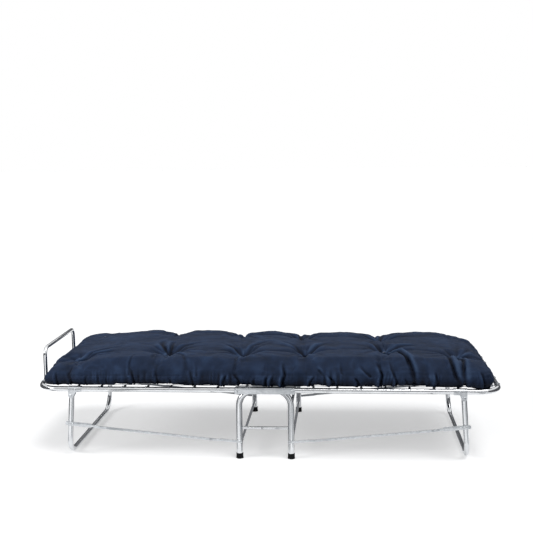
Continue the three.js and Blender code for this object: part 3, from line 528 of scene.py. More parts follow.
def build_stand():
    bar_z = middle("side_bar_far")[2]
    side_bar = welded_bar((-LEG_X, RAIL_Y, bar_z), (LEG_X, RAIL_Y, bar_z))
    inner_points, inner_faces = mirrored(side_plate(), y=-1)
    inner_plate = inner_points + (0, 2 * RAIL_Y, 0), inner_faces
    for side, y in SIDES.items():
        stand_in(f"arch_{side}", arch(), CHROME, y=y)
        stand_in(f"side_bar_{side}", side_bar, CHROME, y=y)
        stand_in(f"side_plate_{side}_outer", side_plate(), ZINC, y=y)
        stand_in(f"side_plate_{side}_inner", inner_plate, ZINC, y=y)
    for end, x in ENDS.items():
        for level in ("upper", "lower"):
            node = f"crossbar_{end}_{level}"
            height = middle(node)[2]
            bar = welded_bar((LEG_X, -RAIL_Y, height), (LEG_X, RAIL_Y, height))
            stand_in(node, bar, CHROME, x)
        for side, y in SIDES.items():
            stand_in(f"rubber_foot_{end}_{side}", rubber_foot(), RUBBER, x, y)
            stand_in(f"pivot_bolt_{end}_{side}", pivot_bolt(), ZINC, x, y)
            stand_in(f"strap_rivet_{end}_{side}", rivet("strap_rivet_foot_far"), ZINC, x, y)


# ------------------------------------------------------------ mattress frames
def pressed(rings, axis, past):
    """Rings held on one axis within the half width of a round end: sqrt(ROUND_END^2 - past^2)."""
    reach = np.clip(ROUND_END**2 - past**2, 1e-9, None)[:, None] ** 0.5
    rings[:, :, axis] = np.clip(rings[:, :, axis], -reach, reach)
    return rings


def frame_tube(with_spigot):
    """Side rail, corner bend and half of the end bar, pressed flat to a round end at the pivot."""
    corners = [(PIVOT_X - ROUND_END, RAIL_Y, 0), (END_BAR_X, RAIL_Y, 0), (END_BAR_X, 0.15 * MM, 0)]
    points, directions = bent_path(corners, FRAME_BEND)
    round_end = PIVOT_X - ROUND_END * np.cos(np.linspace(0, np.pi / 2, 9))
    extra = np.stack([round_end, np.full(9, RAIL_Y), np.zeros(9)], axis=-1)
    points = np.concatenate([extra, points[1:]])
    directions = np.concatenate([np.broadcast_to(X, (9, 3)), directions[1:]])
    rings = rings_along(points, directions, Z, TUBE_RADIUS, 32)
    rings = pressed(rings, 2, np.minimum(points[:, 0] - PIVOT_X, 0))
    rings[:, :, 2] += AXIS_Z
    if not with_spigot:
        return closed_rings(rings)
    inside, out = (np.array([END_BAR_X, y, AXIS_Z]) for y in (-60 * MM, 12 * MM))
    return joined([closed_rings(rings), rod(inside, out, 9.2 * MM, 24)])


def hoop():
    """Pillow hoop: one bent tube on the end bar, with a flaring weld bead round each foot."""
    half, top = (HOOP_HIGH - HOOP_RADIUS)[1:]
    foot_z = AXIS_Z + TUBE_RADIUS - 2 * MM
    corners = [(half, foot_z), (half, top), (-half, top), (-half, foot_z)]
    parts = [bent_tube([(END_BAR_X, y, z) for y, z in corners], HOOP_BEND, HOOP_RADIUS, X, 28)]
    s = np.linspace(0, 1, 6)
    flare, height, sunk = 2.6 * MM, 7 * MM, 1.0 * MM
    bead = np.stack([HOOP_RADIUS + flare * (1 - s) ** 2, s * height], axis=-1)
    outline = [[(0.0, -sunk), (HOOP_RADIUS + flare, -sunk)], bead, [(0.0, height)]]
    for y in (-half, half):
        centre = np.array([END_BAR_X, y, AXIS_Z + TUBE_RADIUS - 1.2 * MM])
        parts.append(turned(np.concatenate(outline), centre, Z))
    return joined(parts)


def thick_sheet(grid, thickness):
    """A pressed sheet about a grid of middle points: each face is half the thickness along the
    grid's own normal, and the rims are joined by walls."""
    rows, columns, _ = grid.shape
    normal = np.cross(np.gradient(grid, axis=0), np.gradient(grid, axis=1))
    normal = unit(normal) * thickness / 2
    points = np.concatenate([(grid + normal).reshape(-1, 3), (grid - normal).reshape(-1, 3)])
    face = grid_faces(rows, columns, wrap_columns=False)
    far = rows * columns
    rim = rim_of(np.arange(far).reshape(rows, columns))
    following = np.roll(rim, -1)
    wall = np.stack([rim, following, following + far, rim + far], axis=-1)
    return points, [face[:, ::-1], face + far, wall]


def leg_bracket():
    """Saddle bracket: a round-backed channel over the rail. Station x runs along it. The cheeks end
    on a line level with the rail as far as the knee, then on the line from the knee that touches
    the round ear about the leg pivot, then on the ear's arc."""
    ear, sheet, skirt, reach, knee = 11.5 * MM, 2 * MM, 11 * MM, 42 * MM, 18 * MM
    radius = TUBE_RADIUS + CLEARANCE + sheet / 2
    pivot_x, pivot_z = LEG_PIVOT[0], LEG_PIVOT[2]
    knee_z = AXIS_Z - skirt - pivot_z
    tangent = math.atan2(knee_z, -knee) + math.acos(ear / math.hypot(knee, knee_z)) - 2 * math.pi
    arc = np.linspace(tangent, 0, 14)
    station_x = np.concatenate([[-reach, -knee], ear * np.cos(arc)])
    station_z = np.concatenate([[knee_z, knee_z], ear * np.sin(arc)])
    order = np.concatenate([np.linspace(0, 1, 5)[:-1], np.linspace(1, 2, 8)[:-1], np.arange(2, 16)])
    x = pivot_x + np.interp(order, np.arange(16), station_x)
    low = pivot_z + np.interp(order, np.arange(16), station_z)
    turn = np.linspace(0, np.pi, 15)
    cheek = np.linspace(0, 1, 5, endpoint=False)
    grid = np.empty((len(x), 25, 3))  # across: 5 points up one cheek, 15 over the back, 5 down
    grid[:, :, 0] = x[:, None]
    grid[:, :5, 1] = RAIL_Y - radius
    grid[:, 5:20, 1] = RAIL_Y - np.cos(turn) * radius
    grid[:, 20:, 1] = RAIL_Y + radius
    grid[:, :5, 2] = low[:, None] + cheek * (AXIS_Z - low)[:, None]
    grid[:, 5:20, 2] = AXIS_Z + np.sin(turn) * radius
    grid[:, 20:, 2] = grid[:, 4::-1, 2]
    seat = RAIL_Y + radius + sheet / 2
    head = rivet_head(4.8 * MM, seat, seat - sheet / 2, np.array([FRAME_ROWS[-1], 0.0, AXIS_Z]))
    return joined([thick_sheet(grid[:, ::-1], sheet), head])


def build_frames():
    for end, x in ENDS.items():
        for side, y in SIDES.items():
            stand_in(f"{end}_frame_tube_{side}", frame_tube(side == "far"), CHROME, x, y)
            stand_in(f"{end}_leg_bracket_{side}", leg_bracket(), ZINC, x, y)
            stand_in(f"{end}_leg_pin_{side}", rivet("foot_leg_pin_far"), ZINC, x, y)
    stand_in("head_hoop", hoop(), CHROME, ENDS["head"])


# ------------------------------------------------------------ end legs, links and straps
def end_leg():
    """U-shaped leg, modelled hanging from its pivot and leant outwards by the splay; its top ends
    are pressed round about the pivot pin."""
    length = (LEG_PIVOT[2] - TUBE_RADIUS) / math.cos(LEG_SPLAY)
    corners = [(RAIL_Y, ROUND_END), (RAIL_Y, -length), (-RAIL_Y, -length), (-RAIL_Y, ROUND_END)]
    points, directions = bent_path([(0, y, z) for y, z in corners], LEG_BEND)
    heights = ROUND_END * np.cos(np.linspace(0, np.pi / 2, 9))
    top = np.stack([np.zeros(9), np.full(9, RAIL_Y), heights], axis=-1)
    points = np.concatenate([top, points[1:-1], top[::-1] * (1, -1, 1)])
    down, up = np.broadcast_to(-Z, (9, 3)), np.broadcast_to(Z, (9, 3))
    directions = np.concatenate([down, directions[1:-1], up])
    rings = rings_along(points, directions, X, TUBE_RADIUS, 32)
    rings = pressed(rings, 0, np.maximum(points[:, 2], 0))
    pivot = LEG_PIVOT * (1, 0, 1)
    return closed_rings(leaning(rings + pivot, -LEG_SPLAY, pivot))


STRAP_LINE = (LINK_PIN - STRAP_PIN) * (1, 0, 1)
STRAP_ANGLE = math.atan2(STRAP_LINE[2], STRAP_LINE[0])
SLOT_REST = 15 * MM
STRAP_LENGTH = float(np.linalg.norm(STRAP_LINE)) - SLOT_REST
LINK_FACE = extent("slotted_link_foot_far")[0][1]


def round_ended(radius, x0, x1):
    """A flat outline in X and Z: half circles about x1 and x0, joined by straights."""
    steps = 17
    a = np.concatenate([np.linspace(-0.5, 0.5, steps), np.linspace(0.5, 1.5, steps)]) * np.pi
    centre = np.repeat([x1, x0], steps)
    return np.stack([centre + radius * np.cos(a), radius * np.sin(a)], axis=-1)


def slotted_link():
    """Flat link with a long slot. Its outline and its slot are two round-ended outlines walked
    together; the section between them is joined by quarter rounds over the four edges."""
    low, high = extent("slotted_link_foot_far")
    half, slot_half, edge, sheet, tail = 8.5 * MM, 3.5 * MM, 0.4 * MM, high[1] - low[1], 12 * MM
    length = (high[0] - low[0] - 2 * half) / math.cos(STRAP_ANGLE) - tail
    slot_end = length + half - 6 * MM - slot_half
    turn = np.linspace(0, np.pi / 2, 4)
    inset, rise = edge * (1 - np.sin(turn)), edge * (1 - np.cos(turn))
    inset, height = np.concatenate([inset, inset[::-1]]), np.concatenate([rise, sheet - rise[::-1]])
    outside = [round_ended(half - i, -tail, length) for i in inset]
    inside = [round_ended(slot_half + i, SLOT_REST, slot_end) for i in inset]
    flat = np.stack(outside + inside)
    y = low[1] + np.broadcast_to(np.concatenate([height, height[::-1]])[:, None], flat.shape[:2])
    rings = np.stack([flat[:, :, 0], y, flat[:, :, 1]], axis=-1)
    points = leaning(rings.reshape(-1, 3), math.pi - STRAP_ANGLE) + LINK_PIN * (1, 0, 1)
    return points, [grid_faces(*flat.shape[:2], wrap_rows=True)[:, ::-1]]


def stay_strap():
    """Joggled flat strap: a rounded 10 by 2 mm section carried along its side view, with round ends
    of half-width sqrt(5^2 - past^2), and the head of the rivet that slides in the link's slot."""
    half, sheet, edge = 5 * MM, 2 * MM, 0.5 * MM
    leg_y = RAIL_Y + ARCH_RADIUS + CLEARANCE + sheet / 2
    outer_y = extent("pivot_bolt_foot_far")[1][1] + 0.8 * MM + sheet / 2
    slot_y = LINK_FACE + sheet + CLEARANCE + sheet / 2
    first, run, last = 78 * MM, 18 * MM, STRAP_LENGTH - 88 * MM
    bends_x = np.array([first, first + run, last - run, last])
    bends_y = np.array([leg_y, outer_y, outer_y, slot_y])
    ends = half * (1 - np.cos(np.linspace(0, np.pi / 2, 9)))
    soften = np.linspace(-4, 4, 7) * MM
    bent = (bends_x[:, None] + soften).ravel()
    x = np.concatenate([-half + ends, bent, STRAP_LENGTH + half - ends[::-1]])
    y = sum(np.interp(x + shift, bends_x, bends_y) for shift in (-2 * MM, 0.0, 2 * MM)) / 3
    past = np.maximum(np.maximum(-x, x - STRAP_LENGTH), 0)
    width = np.sqrt(np.clip(half**2 - past**2, 1e-9, None))[:, None]
    corner = np.linspace(0, np.pi / 2, 4)
    signs = np.repeat([(1, 1), (-1, 1), (-1, -1), (1, -1)], 4, axis=0)
    round_by = np.concatenate([corner, corner[::-1], corner, corner[::-1]])
    across = np.maximum(width - edge, 0) + np.cos(round_by) * np.minimum(edge, width)
    across *= signs[:, 0]
    thick = signs[:, 1] * (sheet / 2 - edge + np.sin(round_by) * edge)
    slope = np.gradient(y, x)[:, None]
    tilt = np.sqrt(1 + slope**2)
    x, y = x[:, None] - slope / tilt * thick, y[:, None] + thick / tilt
    rings = np.stack([x, y, across], axis=-1)
    seat = slot_y + sheet / 2
    head = rivet_head(5.1 * MM, seat, seat - 0.5 * MM, np.array([STRAP_LENGTH, 0.0, 0.0]))
    points, faces = joined([closed_rings(rings), head])
    return leaning(points, -STRAP_ANGLE) + STRAP_PIN * (1, 0, 1), faces


def build_legs():
    for end, x in ENDS.items():
        stand_in(f"{end}_leg_tube", end_leg(), CHROME, x)
        for side, y in SIDES.items():
            stand_in(f"link_rivet_{end}_{side}", rivet("link_rivet_foot_far"), ZINC, x, y)
            stand_in(f"slotted_link_{end}_{side}", slotted_link(), ZINC, x, y)
            stand_in(f"stay_strap_{end}_{side}", stay_strap(), ZINC, x, y)


# ------------------------------------------------------------ spring mesh
COLUMN_Y = (np.arange(COLUMNS) - (COLUMNS - 1) / 2) * COLUMN_SPACING
FRAME_ROWS = np.linspace(PIVOT_X + 81.5 * MM, LEG_PIVOT[0] - 17 * MM, 7)
MIDDLE_ROWS = np.array([-78, 0, 78]) * MM
PARTING = 3.2 * MM  # from the fold pivot's axis to the ends of the long wires
HOOK_RADIUS = TUBE_RADIUS + CLEARANCE + WIRE
SPRING_GAP = 4 * MM  # from the end of a spring to its hook
OVERLAP = 1 * MM


def coil(start, axis, radius, length):
    """A closed-coil spring: start + axis * s + r(s) * (cos t * e1 + sin t * e2), t one turn a
    pitch, r rising from the axis over the first half turn and falling back over the last."""
    pitch, steps = 2.0 * MM, 14
    turns = length / pitch
    t = np.linspace(0, 2 * np.pi * turns, round(turns * steps) + 1)
    s = t / t[-1]
    first = unit(np.cross(axis, Z))
    second = np.cross(axis, first)
    r = (radius - WIRE) * np.maximum(smooth(np.minimum(s, 1 - s) * turns * 2), 1e-3)
    out = np.cos(t)[:, None] * first + np.sin(t)[:, None] * second
    centres = start + s[:, None] * length * axis + r[:, None] * out
    directions = unit(np.gradient(centres, axis=0))
    sideways = unit(out - directions * np.sum(out * directions, axis=1, keepdims=True))
    return closed_rings(sweep(centres, sideways, np.cross(directions, sideways), WIRE, 6))


def wire_path(points, radius=WIRE, sides=8):
    """A round wire along a path that is nowhere upright, with its section kept square to it."""
    directions = unit(np.gradient(points, axis=0))
    upward = unit(Z - directions * directions[:, 2:])
    return closed_rings(rings_along(points, directions, upward, radius, sides))


def hook(across, bar_centre, lead_start):
    """Wire from the spring's end straight to the bar and round over it: an arc of the hook radius
    from level with the axis, up and over by 150 degrees."""
    turn = np.linspace(0, math.radians(150), 16)[:, None]
    arc = bar_centre + HOOK_RADIUS * (-np.cos(turn) * across + np.sin(turn) * Z)
    lead = lead_start + np.linspace(0, 1, 4)[:-1, None] * (arc[0] - lead_start)
    points = np.concatenate([lead, arc])
    directions = unit(np.gradient(points, axis=0))
    return closed_rings(rings_along(points, directions, np.cross(across, Z), WIRE, 8))


def mesh_column(y, start, end, crossings):
    """A long wire that sags by 0.9 mm * (d / 45 mm)^1.5 at a distance d from the nearest row it is
    welded to, and sways sideways by up to 1.2 mm between rows."""
    x = np.linspace(start, end, 1 + round((end - start) / (9 * MM)))
    nearest = np.min(np.abs(x[:, None] - crossings), axis=1)
    sag = 0.9 * MM * np.clip(nearest / (45 * MM), 0, 1) ** 1.5
    sway = 1.2 * MM * np.sin(x * 37 + y * 90) * np.clip(nearest / (20 * MM), 0, 1)
    return wire_path(np.stack([x, y + sway, AXIS_Z + COLUMN_Z - sag], axis=-1))


def row_end(x, seat):
    """Spring at one end of a row with its hook over the rail or, where the row has a seat, its
    straight end in a hole that far from the rail's axis."""
    length, radius = 40 * MM, 5 * MM
    spring_end = RAIL_Y - HOOK_RADIUS - SPRING_GAP
    start = np.array([x, spring_end - length, AXIS_Z])
    lead = np.array([x, spring_end - OVERLAP, AXIS_Z])
    rail = np.array([x, RAIL_Y, AXIS_Z])
    outer_weld = (x, COLUMN_Y[-1], AXIS_Z - COLUMN_Z)
    return [
        rod(outer_weld, start + (0, 1.5 * MM, 0)),
        coil(start, Y, radius, length),
        rod(lead, rail - (0, seat, 0)) if seat else hook(Y, rail, lead),
    ]


def mesh_row(x, seat):
    ends = row_end(x, seat)
    straight = rod(*[(x, y, AXIS_Z - COLUMN_Z) for y in COLUMN_Y[[0, -1]]])
    return [straight, *ends, *[mirrored(part, y=-1) for part in ends]]


def end_spring(group, row_x):
    """Spring between the end bar and a group of columns, with a slanting wire to each of them."""
    length, radius, y = 52 * MM, 5.5 * MM, group.mean()
    spring_end = END_BAR_X - HOOK_RADIUS - SPRING_GAP
    start = np.array([spring_end - length, y, AXIS_Z])
    welds = [(row_x - OVERLAP, column, AXIS_Z + COLUMN_Z) for column in group]
    spread = [rod(weld, start + (2 * MM, 0, 0)) for weld in welds]
    bar_centre = np.array([END_BAR_X, y, AXIS_Z])
    lead = np.array([spring_end - OVERLAP, y, AXIS_Z])
    return [*spread, coil(start, X, radius, length), hook(X, bar_centre, lead)]


def mesh(rows, seats, start, end):
    """Parts of one welded mesh: its rows with their springs, then the long wires across them."""
    parts = [part for x, seat in zip(rows, seats) for part in mesh_row(x, seat)]
    return parts + [mesh_column(y, start, end, rows) for y in COLUMN_Y]


def frame_mesh():
    last_row = FRAME_ROWS[-1]
    seats = [0] * (len(FRAME_ROWS) - 1) + [TUBE_RADIUS + CLEARANCE]
    parts = mesh(FRAME_ROWS, seats, PIVOT_X + PARTING, last_row + OVERLAP)
    for group in np.split(COLUMN_Y, np.cumsum(SPRING_GROUPS)[:-1]):
        parts += end_spring(group, last_row)
    return joined(parts)


def build_mesh():
    for end, x in ENDS.items():
        stand_in(f"mesh_{end}", frame_mesh(), SPRING_WIRE, x)
    reach = PIVOT_X - PARTING
    middle_mesh = mesh(MIDDLE_ROWS, [ARCH_RADIUS + 0.6 * MM] * len(MIDDLE_ROWS), -reach, reach)
    stand_in("mesh_middle", joined(middle_mesh), SPRING_WIRE)


# ------------------------------------------------------------ mattress
PAD_HALF_LENGTH = 0.918
PAD_HALF_WIDTH = 0.345
PAD_CORNERS = np.array([[0.045, 0.085], [0.065, 0.12]])  # head and foot end, near and far side
SEAM_Z = 0.339
PAD_SEAT = 0.2985
CROWN_Z = 0.3845
TUFT_Z = 0.361
UPPER_Z = 0.345  # above it the ties and dents show
SHOULDER_Z = 0.368  # below it places on the walls are measured down them
PLEATS_Z = 0.385  # where the upright pleats start
# tufts, near row and far row from the head, in millimetres; how hard each tie pulls; and the pairs
# of tufts with a valley between them
TUFT_PLACES = [
    (-790, -190), (-423, -130), (-103, -145), (155, -130), (490, -90), (787, -140),
    (-785, 200), (-453, 235), (-149, 215), (130, 195), (477, 170), (785, 200),
]
TUFTS = np.array(TUFT_PLACES) / 1000
TUFT_PULL = np.array([0.8, 1, 1, 1, 1, 0.9, 0.15, 0.6, 0.95, 1, 1, 0.35])
VALLEYS = [(k, k + 1) for k in range(11) if k != 5] + [(k, k + 6) for k in range(6)]
# folds of the cover from a tuft out over an edge: the tuft's number, then places as (x, distance
# across measured over the edge and down the wall), depth and half width, all in millimetres
TUFT_FOLDS = [
    (4, [(547, -160), (573, -260), (592, -330), (600, -410)], 15, 7),
    (5, [(745, -160), (750, -290), (761, -366), (781, -410)], 14, 7),
    (5, [(800, -250), (793, -350), (797, -410)], 9, 7),
    (1, [(-390, -200), (-345, -250), (-317, -330)], 6, 6),
    (1, [(-460, -200), (-470, -270)], 5, 8),
    (1, [(-470, -50), (-475, 20)], 6, 8),
    (1, [(-425, -60), (-430, 20)], 8, 7),
    (1, [(-360, -50), (-300, 0)], 5, 8),
    (2, [(-70, -60), (-20, 20)], 6, 8),
    (2, [(-160, -80), (-200, -30)], 6, 8),
    (2, [(-122, -240), (-121, -330)], 4, 6),
    (3, [(100, -50), (50, 20)], 5, 8),
    (3, [(210, -60), (250, 0)], 6, 8),
    (3, [(160, -220), (150, -300)], 4, 9),
    (4, [(450, -20), (420, 40)], 5, 8),
    (4, [(550, -50), (620, -40)], 7, 8),
    (0, [(-720, -160), (-660, -140)], 7, 8),
    (0, [(-700, -210), (-620, -200)], 5, 9),
    (0, [(-720, -110), (-640, -70)], 5, 8),
    (0, [(-840, -220), (-880, -260)], 5, 8),
    (5, [(840, -120), (880, -110)], 7, 8),
    (11, [(840, 180), (880, 170)], 5, 8),
    (10, [(490, 250), (485, 330)], 6, 8),
    (7, [(-460, 290), (-450, 350)], 4, 8),
    (8, [(-140, 280), (-150, 360)], 5, 7),
    (9, [(120, 270), (130, 350)], 5, 8),
]
# creases of the sides: places, depth and half width in the same way
WALL_CREASES = [
    ([(-530, -410), (-543, -360), (-549, -330)], 5.5, 4.5),
    ([(-553, -370), (-556, -310), (-548, -250)], 4, 4),
    ([(-433, -410), (-444, -360), (-441, -310)], 4, 4.5),
    ([(-377, -415), (-391, -385)], 5, 4),
    ([(-290, -410), (-301, -360), (-307, -330)], 4.5, 4),
    ([(-276, -370), (-281, -310)], 3.5, 4),
    ([(-175, -415), (-165, -390), (-152, -365)], 8, 4),
    ([(-100, -415), (-108, -389), (-128, -357)], 8, 4.5),
    ([(-48, -415), (-42, -385)], 6, 4),
    ([(1, -415), (13, -360)], 6, 4),
    ([(23, -415), (38, -360)], 6, 4),
    ([(70, -415), (81, -366), (74, -310)], 11, 5),
    ([(175, -415), (202, -370)], 7, 4.5),
    ([(219, -335), (238, -368)], 5, 4.5),
    ([(289, -415), (262, -380), (249, -360)], 7, 4.5),
    ([(310, -350), (306, -300)], 4, 4.5),
    ([(384, -415), (362, -380)], 9, 4.5),
    ([(424, -370), (384, -310)], 6, 5),
    ([(462, -415), (471, -366), (456, -300)], 11, 5),
    ([(530, -410), (516, -350), (503, -300)], 7, 4.5),
    ([(580, -415), (560, -385)], 7, 4),
    ([(660, -415), (655, -375)], 5, 4),
    ([(690, -400), (683, -350)], 5, 4),
    ([(875, -410), (862, -340)], 6, 4.5),
    ([(-640, -415), (-652, -385)], 3, 4.5),
    ([(-735, -415), (-728, -370)], 3.5, 4.5),
    ([(-790, -410), (-806, -360), (-795, -310)], 4.5, 5),
    ([(-850, -410), (-860, -350)], 4.5, 4.5),
]
FOLDS = [(np.array([TUFT_PLACES[k], *places]) / 1000, *size) for k, places, *size in TUFT_FOLDS]
FOLDS += [(np.array(places) / 1000, *size) for places, *size in WALL_CREASES]
NX, NY, WALL_ROWS = 255, 77, 15
TRAVEL_CAP = 22 * MM
# range of the height that paints shade and highlight into the cloth's colour
PAINTED_SHADE_RANGE = 14 * MM  # of hollow, from the darkest to the palest cloth


def graded(half, count, share):
    """Stations from -half to half, closer near the ends: half * ((1-k) t + k sin(pi t / 2))."""
    t = np.linspace(-1, 1, count)
    return half * ((1 - share) * t + share * np.sin(np.pi * t / 2))


def wander(t, spacing, seed):
    """A smooth random line between -1 and 1: seeded values at equal stations, joined smoothly."""
    place = (t - t.min()) / spacing
    values = np.random.default_rng(seed).uniform(-1, 1, int(place.max()) + 3)
    station = np.floor(place).astype(int)
    share = smooth(place - station)
    return values[station] * (1 - share) + values[station + 1] * share


def patches(x, y, spacing, seed):
    """Smooth random patches between -1 and 1: seeded values on a square grid, joined smoothly."""
    u, v = (x - x.min()) / spacing, (y - y.min()) / spacing
    i, j = np.floor(u).astype(int), np.floor(v).astype(int)
    values = np.random.default_rng(seed).uniform(-1, 1, (i.max() + 2, j.max() + 2))
    a, b = smooth(u - i), smooth(v - j)
    low = values[i, j] * (1 - a) + values[i + 1, j] * a
    high = values[i, j + 1] * (1 - a) + values[i + 1, j + 1] * a
    return low * (1 - b) + high * b


def bell(distance, width, power=2):
    """1 at distance 0, falling away to both sides: exp(-(distance / width)^power)."""
    return np.exp(-((distance / width) ** power))


def corner_radius(x, y):
    return PAD_CORNERS[(x > 0).astype(int), (y > 0).astype(int)]


def to_corners(x, y):
    """Rounds the rectangle's corners in plan: (a, b) from 0 to 1 across a corner square becomes
    (a sqrt(1 - b^2 / 2), b sqrt(1 - a^2 / 2)), which maps the square onto a quarter disc."""
    corner = corner_radius(x, y)
    a = np.clip((np.abs(x) - (PAD_HALF_LENGTH - corner)) / corner, 0, 1)
    b = np.clip((np.abs(y) - (PAD_HALF_WIDTH - corner)) / corner, 0, 1)
    new_x = x - np.sign(x) * corner * a * (1 - np.sqrt(1 - b * b / 2))
    new_y = y - np.sign(y) * corner * b * (1 - np.sqrt(1 - a * a / 2))
    return new_x, new_y


def round_edge(x, y):
    """Each point's place round the pad's edge, in metres from the middle of the near side, and how
    far it lies inside the rounded outline."""
    corner = corner_radius(x, y)
    a, b = PAD_HALF_LENGTH - corner, PAD_HALF_WIDTH - corner
    core_x, core_y = np.clip(x, -a, a), np.clip(y, -b, b)
    from_core = np.hypot(x - core_x, y - core_y)
    inside = np.minimum(PAD_HALF_LENGTH - np.abs(x), PAD_HALF_WIDTH - np.abs(y))
    inside = np.where(from_core > 1e-6, corner - from_core, inside)
    on_side, at_end = np.abs(x) < a, np.abs(y) < b
    angle = np.arctan2(y - core_y, np.abs(x - core_x) + 1e-9)
    turned_by = np.where(on_side | at_end, np.sign(y) * np.pi / 2, angle)
    turned_by = np.where(~on_side & at_end, 0.0, turned_by)
    along = a + corner * (turned_by + np.pi / 2) + (core_y + b)
    along = np.where(on_side & (y < 0), np.abs(x), along)
    behind = a + corner * np.pi + 2 * b + (a - np.abs(x))
    return np.where(on_side & (y >= 0), behind, along) * np.sign(x), inside


def line_distance(x, y, start, end):
    """Distance of each point from a stretch between two places in plan, and its share along it."""
    d = end - start
    t = np.clip(((x - start[0]) * d[0] + (y - start[1]) * d[1]) / (d @ d), 0, 1)
    return np.hypot(x - start[0] - t * d[0], y - start[1] - t * d[1]), t


def tuft_depth(x, y):
    """How far the ties pull the top down: a pointed pit at each tuft and soft valleys between them,
    steeper on the side of the nearer long edge, where the roll of the edge stands over them."""
    depth = np.zeros_like(x)
    for tuft, pull in zip(TUFTS, TUFT_PULL):
        outer = (y - tuft[1]) * np.sign(tuft[1]) > 0
        r = np.hypot(x - tuft[0], (y - tuft[1]) * np.where(outer, 1.5, 1))
        depth = np.maximum(depth, pull * np.exp(-r / (34 * MM)))
    valley = np.zeros_like(x)
    for first, second in VALLEYS:
        start, end = TUFTS[first], TUFTS[second]
        r, t = line_distance(x, y, start, end)
        if second - first > 1:  # across the pad
            share = 0.4 * (1 - 0.35 * np.sin(np.pi * t))
        else:
            share = 0.6 * (1 - 0.42 * np.sin(np.pi * t))
            line_y = start[1] * (1 - t) + end[1] * t
            r = r * np.where((y - line_y) * np.sign(line_y) > 0, 1.7, 1)
        pull = TUFT_PULL[first] * (1 - t) + TUFT_PULL[second] * t
        valley = np.maximum(valley, share * pull * bell(r, 30 * MM, 1.1))
    return np.maximum(depth, valley)


def crown_height(x, y):
    """The pad's height before it is filled: level in the middle, falling away towards both ends
    and a little towards the far side."""
    far_side = smooth((y + 0.05) / 0.3)
    foot_drop = 10 * MM * smooth((x - 0.58 - 0.12 * far_side) / 0.2)
    head_drop = 17 * MM * smooth((-x - 0.58) / 0.26)
    slack = np.where(x > 0, 5 * MM, -2 * MM) * smooth(np.abs(x) / 0.2) + 2 * MM
    return CROWN_Z - np.where(x > 0, foot_drop, head_drop) - slack * far_side


def lower_edge_rise(x, y):
    """How far the pad's lower edge lies over its seat: its waves between its supports, its lift
    over the leg brackets and, outside the rail's bend at the foot end, its droop."""
    along, _ = round_edge(x, y)
    waves = 9 * MM * np.clip(0.15 + wander(along, 62 * MM, 14), 0, 1) ** 0.8
    waves = waves + 1.0 * MM * (1 + wander(along, 21 * MM, 12))
    side = np.abs(y) > PAD_HALF_WIDTH - 30 * MM
    lift = 10 * MM * bell(np.abs(x) - 0.797, 14 * MM) * (x > 0) * side
    droop = bell(x - 0.868, 38 * MM, 4) * side
    return waves * (1 - droop) + lift - 8 * MM * droop


def pad_grid():
    """The closed pad before it is filled: its points (top, bottom and walls), its faces, and the
    indices of the top's rim and of the walls."""
    stations = graded(PAD_HALF_LENGTH, NX, 0.25), graded(PAD_HALF_WIDTH, NY, 0.3)
    sx, sy = np.meshgrid(*stations, indexing="ij")
    x, y = to_corners(sx, sy)
    end_round, side_round = np.where(sx > 0, 120 * MM, 95 * MM), 85 * MM
    a = np.clip(1 - (PAD_HALF_LENGTH - np.abs(sx)) / end_round, 0, 1)
    b = np.clip(1 - (PAD_HALF_WIDTH - np.abs(sy)) / side_round, 0, 1)
    rounding = np.sqrt((1 - a * a) * (1 - b * b))
    full = SEAM_Z + (crown_height(x, y) - SEAM_Z) * rounding
    top = full - (CROWN_Z - TUFT_Z) * tuft_depth(x, y) * rounding
    _, inside = round_edge(x, y)
    bottom = PAD_SEAT + lower_edge_rise(x, y) * np.clip(1 - inside / (75 * MM), 0, 1) ** 1.5
    top_points, bottom_points = (np.stack([x, y, z], axis=-1).reshape(-1, 3) for z in (top, bottom))

    count = NX * NY
    rim = rim_of(np.arange(count).reshape(NX, NY).T)
    edge = top_points[rim]
    tangent = np.roll(edge, -1, axis=0) - np.roll(edge, 1, axis=0)
    outward = unit(np.stack([tangent[:, 1], -tangent[:, 0]], axis=-1))
    edge_z = PAD_SEAT + lower_edge_rise(edge[:, 0], edge[:, 1])
    s = np.linspace(0, 1, WALL_ROWS + 2)[1:-1, None]
    bulge = 8 * MM * np.sin(np.pi * np.clip(s * 1.05, 0, 1)) - 12 * MM * s**2.5
    wall_xy = edge[:, :2] + bulge[:, :, None] * outward
    wall_z = edge[:, 2] + s * (edge_z - edge[:, 2])
    walls = np.concatenate([wall_xy, wall_z[:, :, None]], axis=-1)
    bottom_points[rim, 2] = edge_z
    bottom_points[rim, :2] -= 14 * MM * outward

    wall_index = 2 * count + np.arange(WALL_ROWS * len(rim)).reshape(WALL_ROWS, len(rim))
    ladder = np.concatenate([rim[None], wall_index, rim[None] + count])
    upper, lower = ladder[:-1], ladder[1:]
    wall_faces = [lower, np.roll(lower, -1, axis=1), np.roll(upper, -1, axis=1), upper]
    faces = grid_faces(NX, NY, wrap_columns=False)
    faces = [faces[:, ::-1], faces + count, np.stack(wall_faces, axis=-1).reshape(-1, 4)]

    points = np.concatenate([top_points, bottom_points, walls.reshape(-1, 3)])
    above_seat = points[:, 2] - PAD_SEAT
    to_corner = np.hypot(points[:, 0] + PAD_HALF_LENGTH, points[:, 1] + PAD_HALF_WIDTH)
    lean = bell(to_corner, 130 * MM) * above_seat
    points[:, :2] += lean[:, None] * (0.42, 0.2)
    points[:, 0] -= 0.2 * smooth((points[:, 0] - 0.80) / 0.118) * above_seat
    return points, faces, rim, wall_index


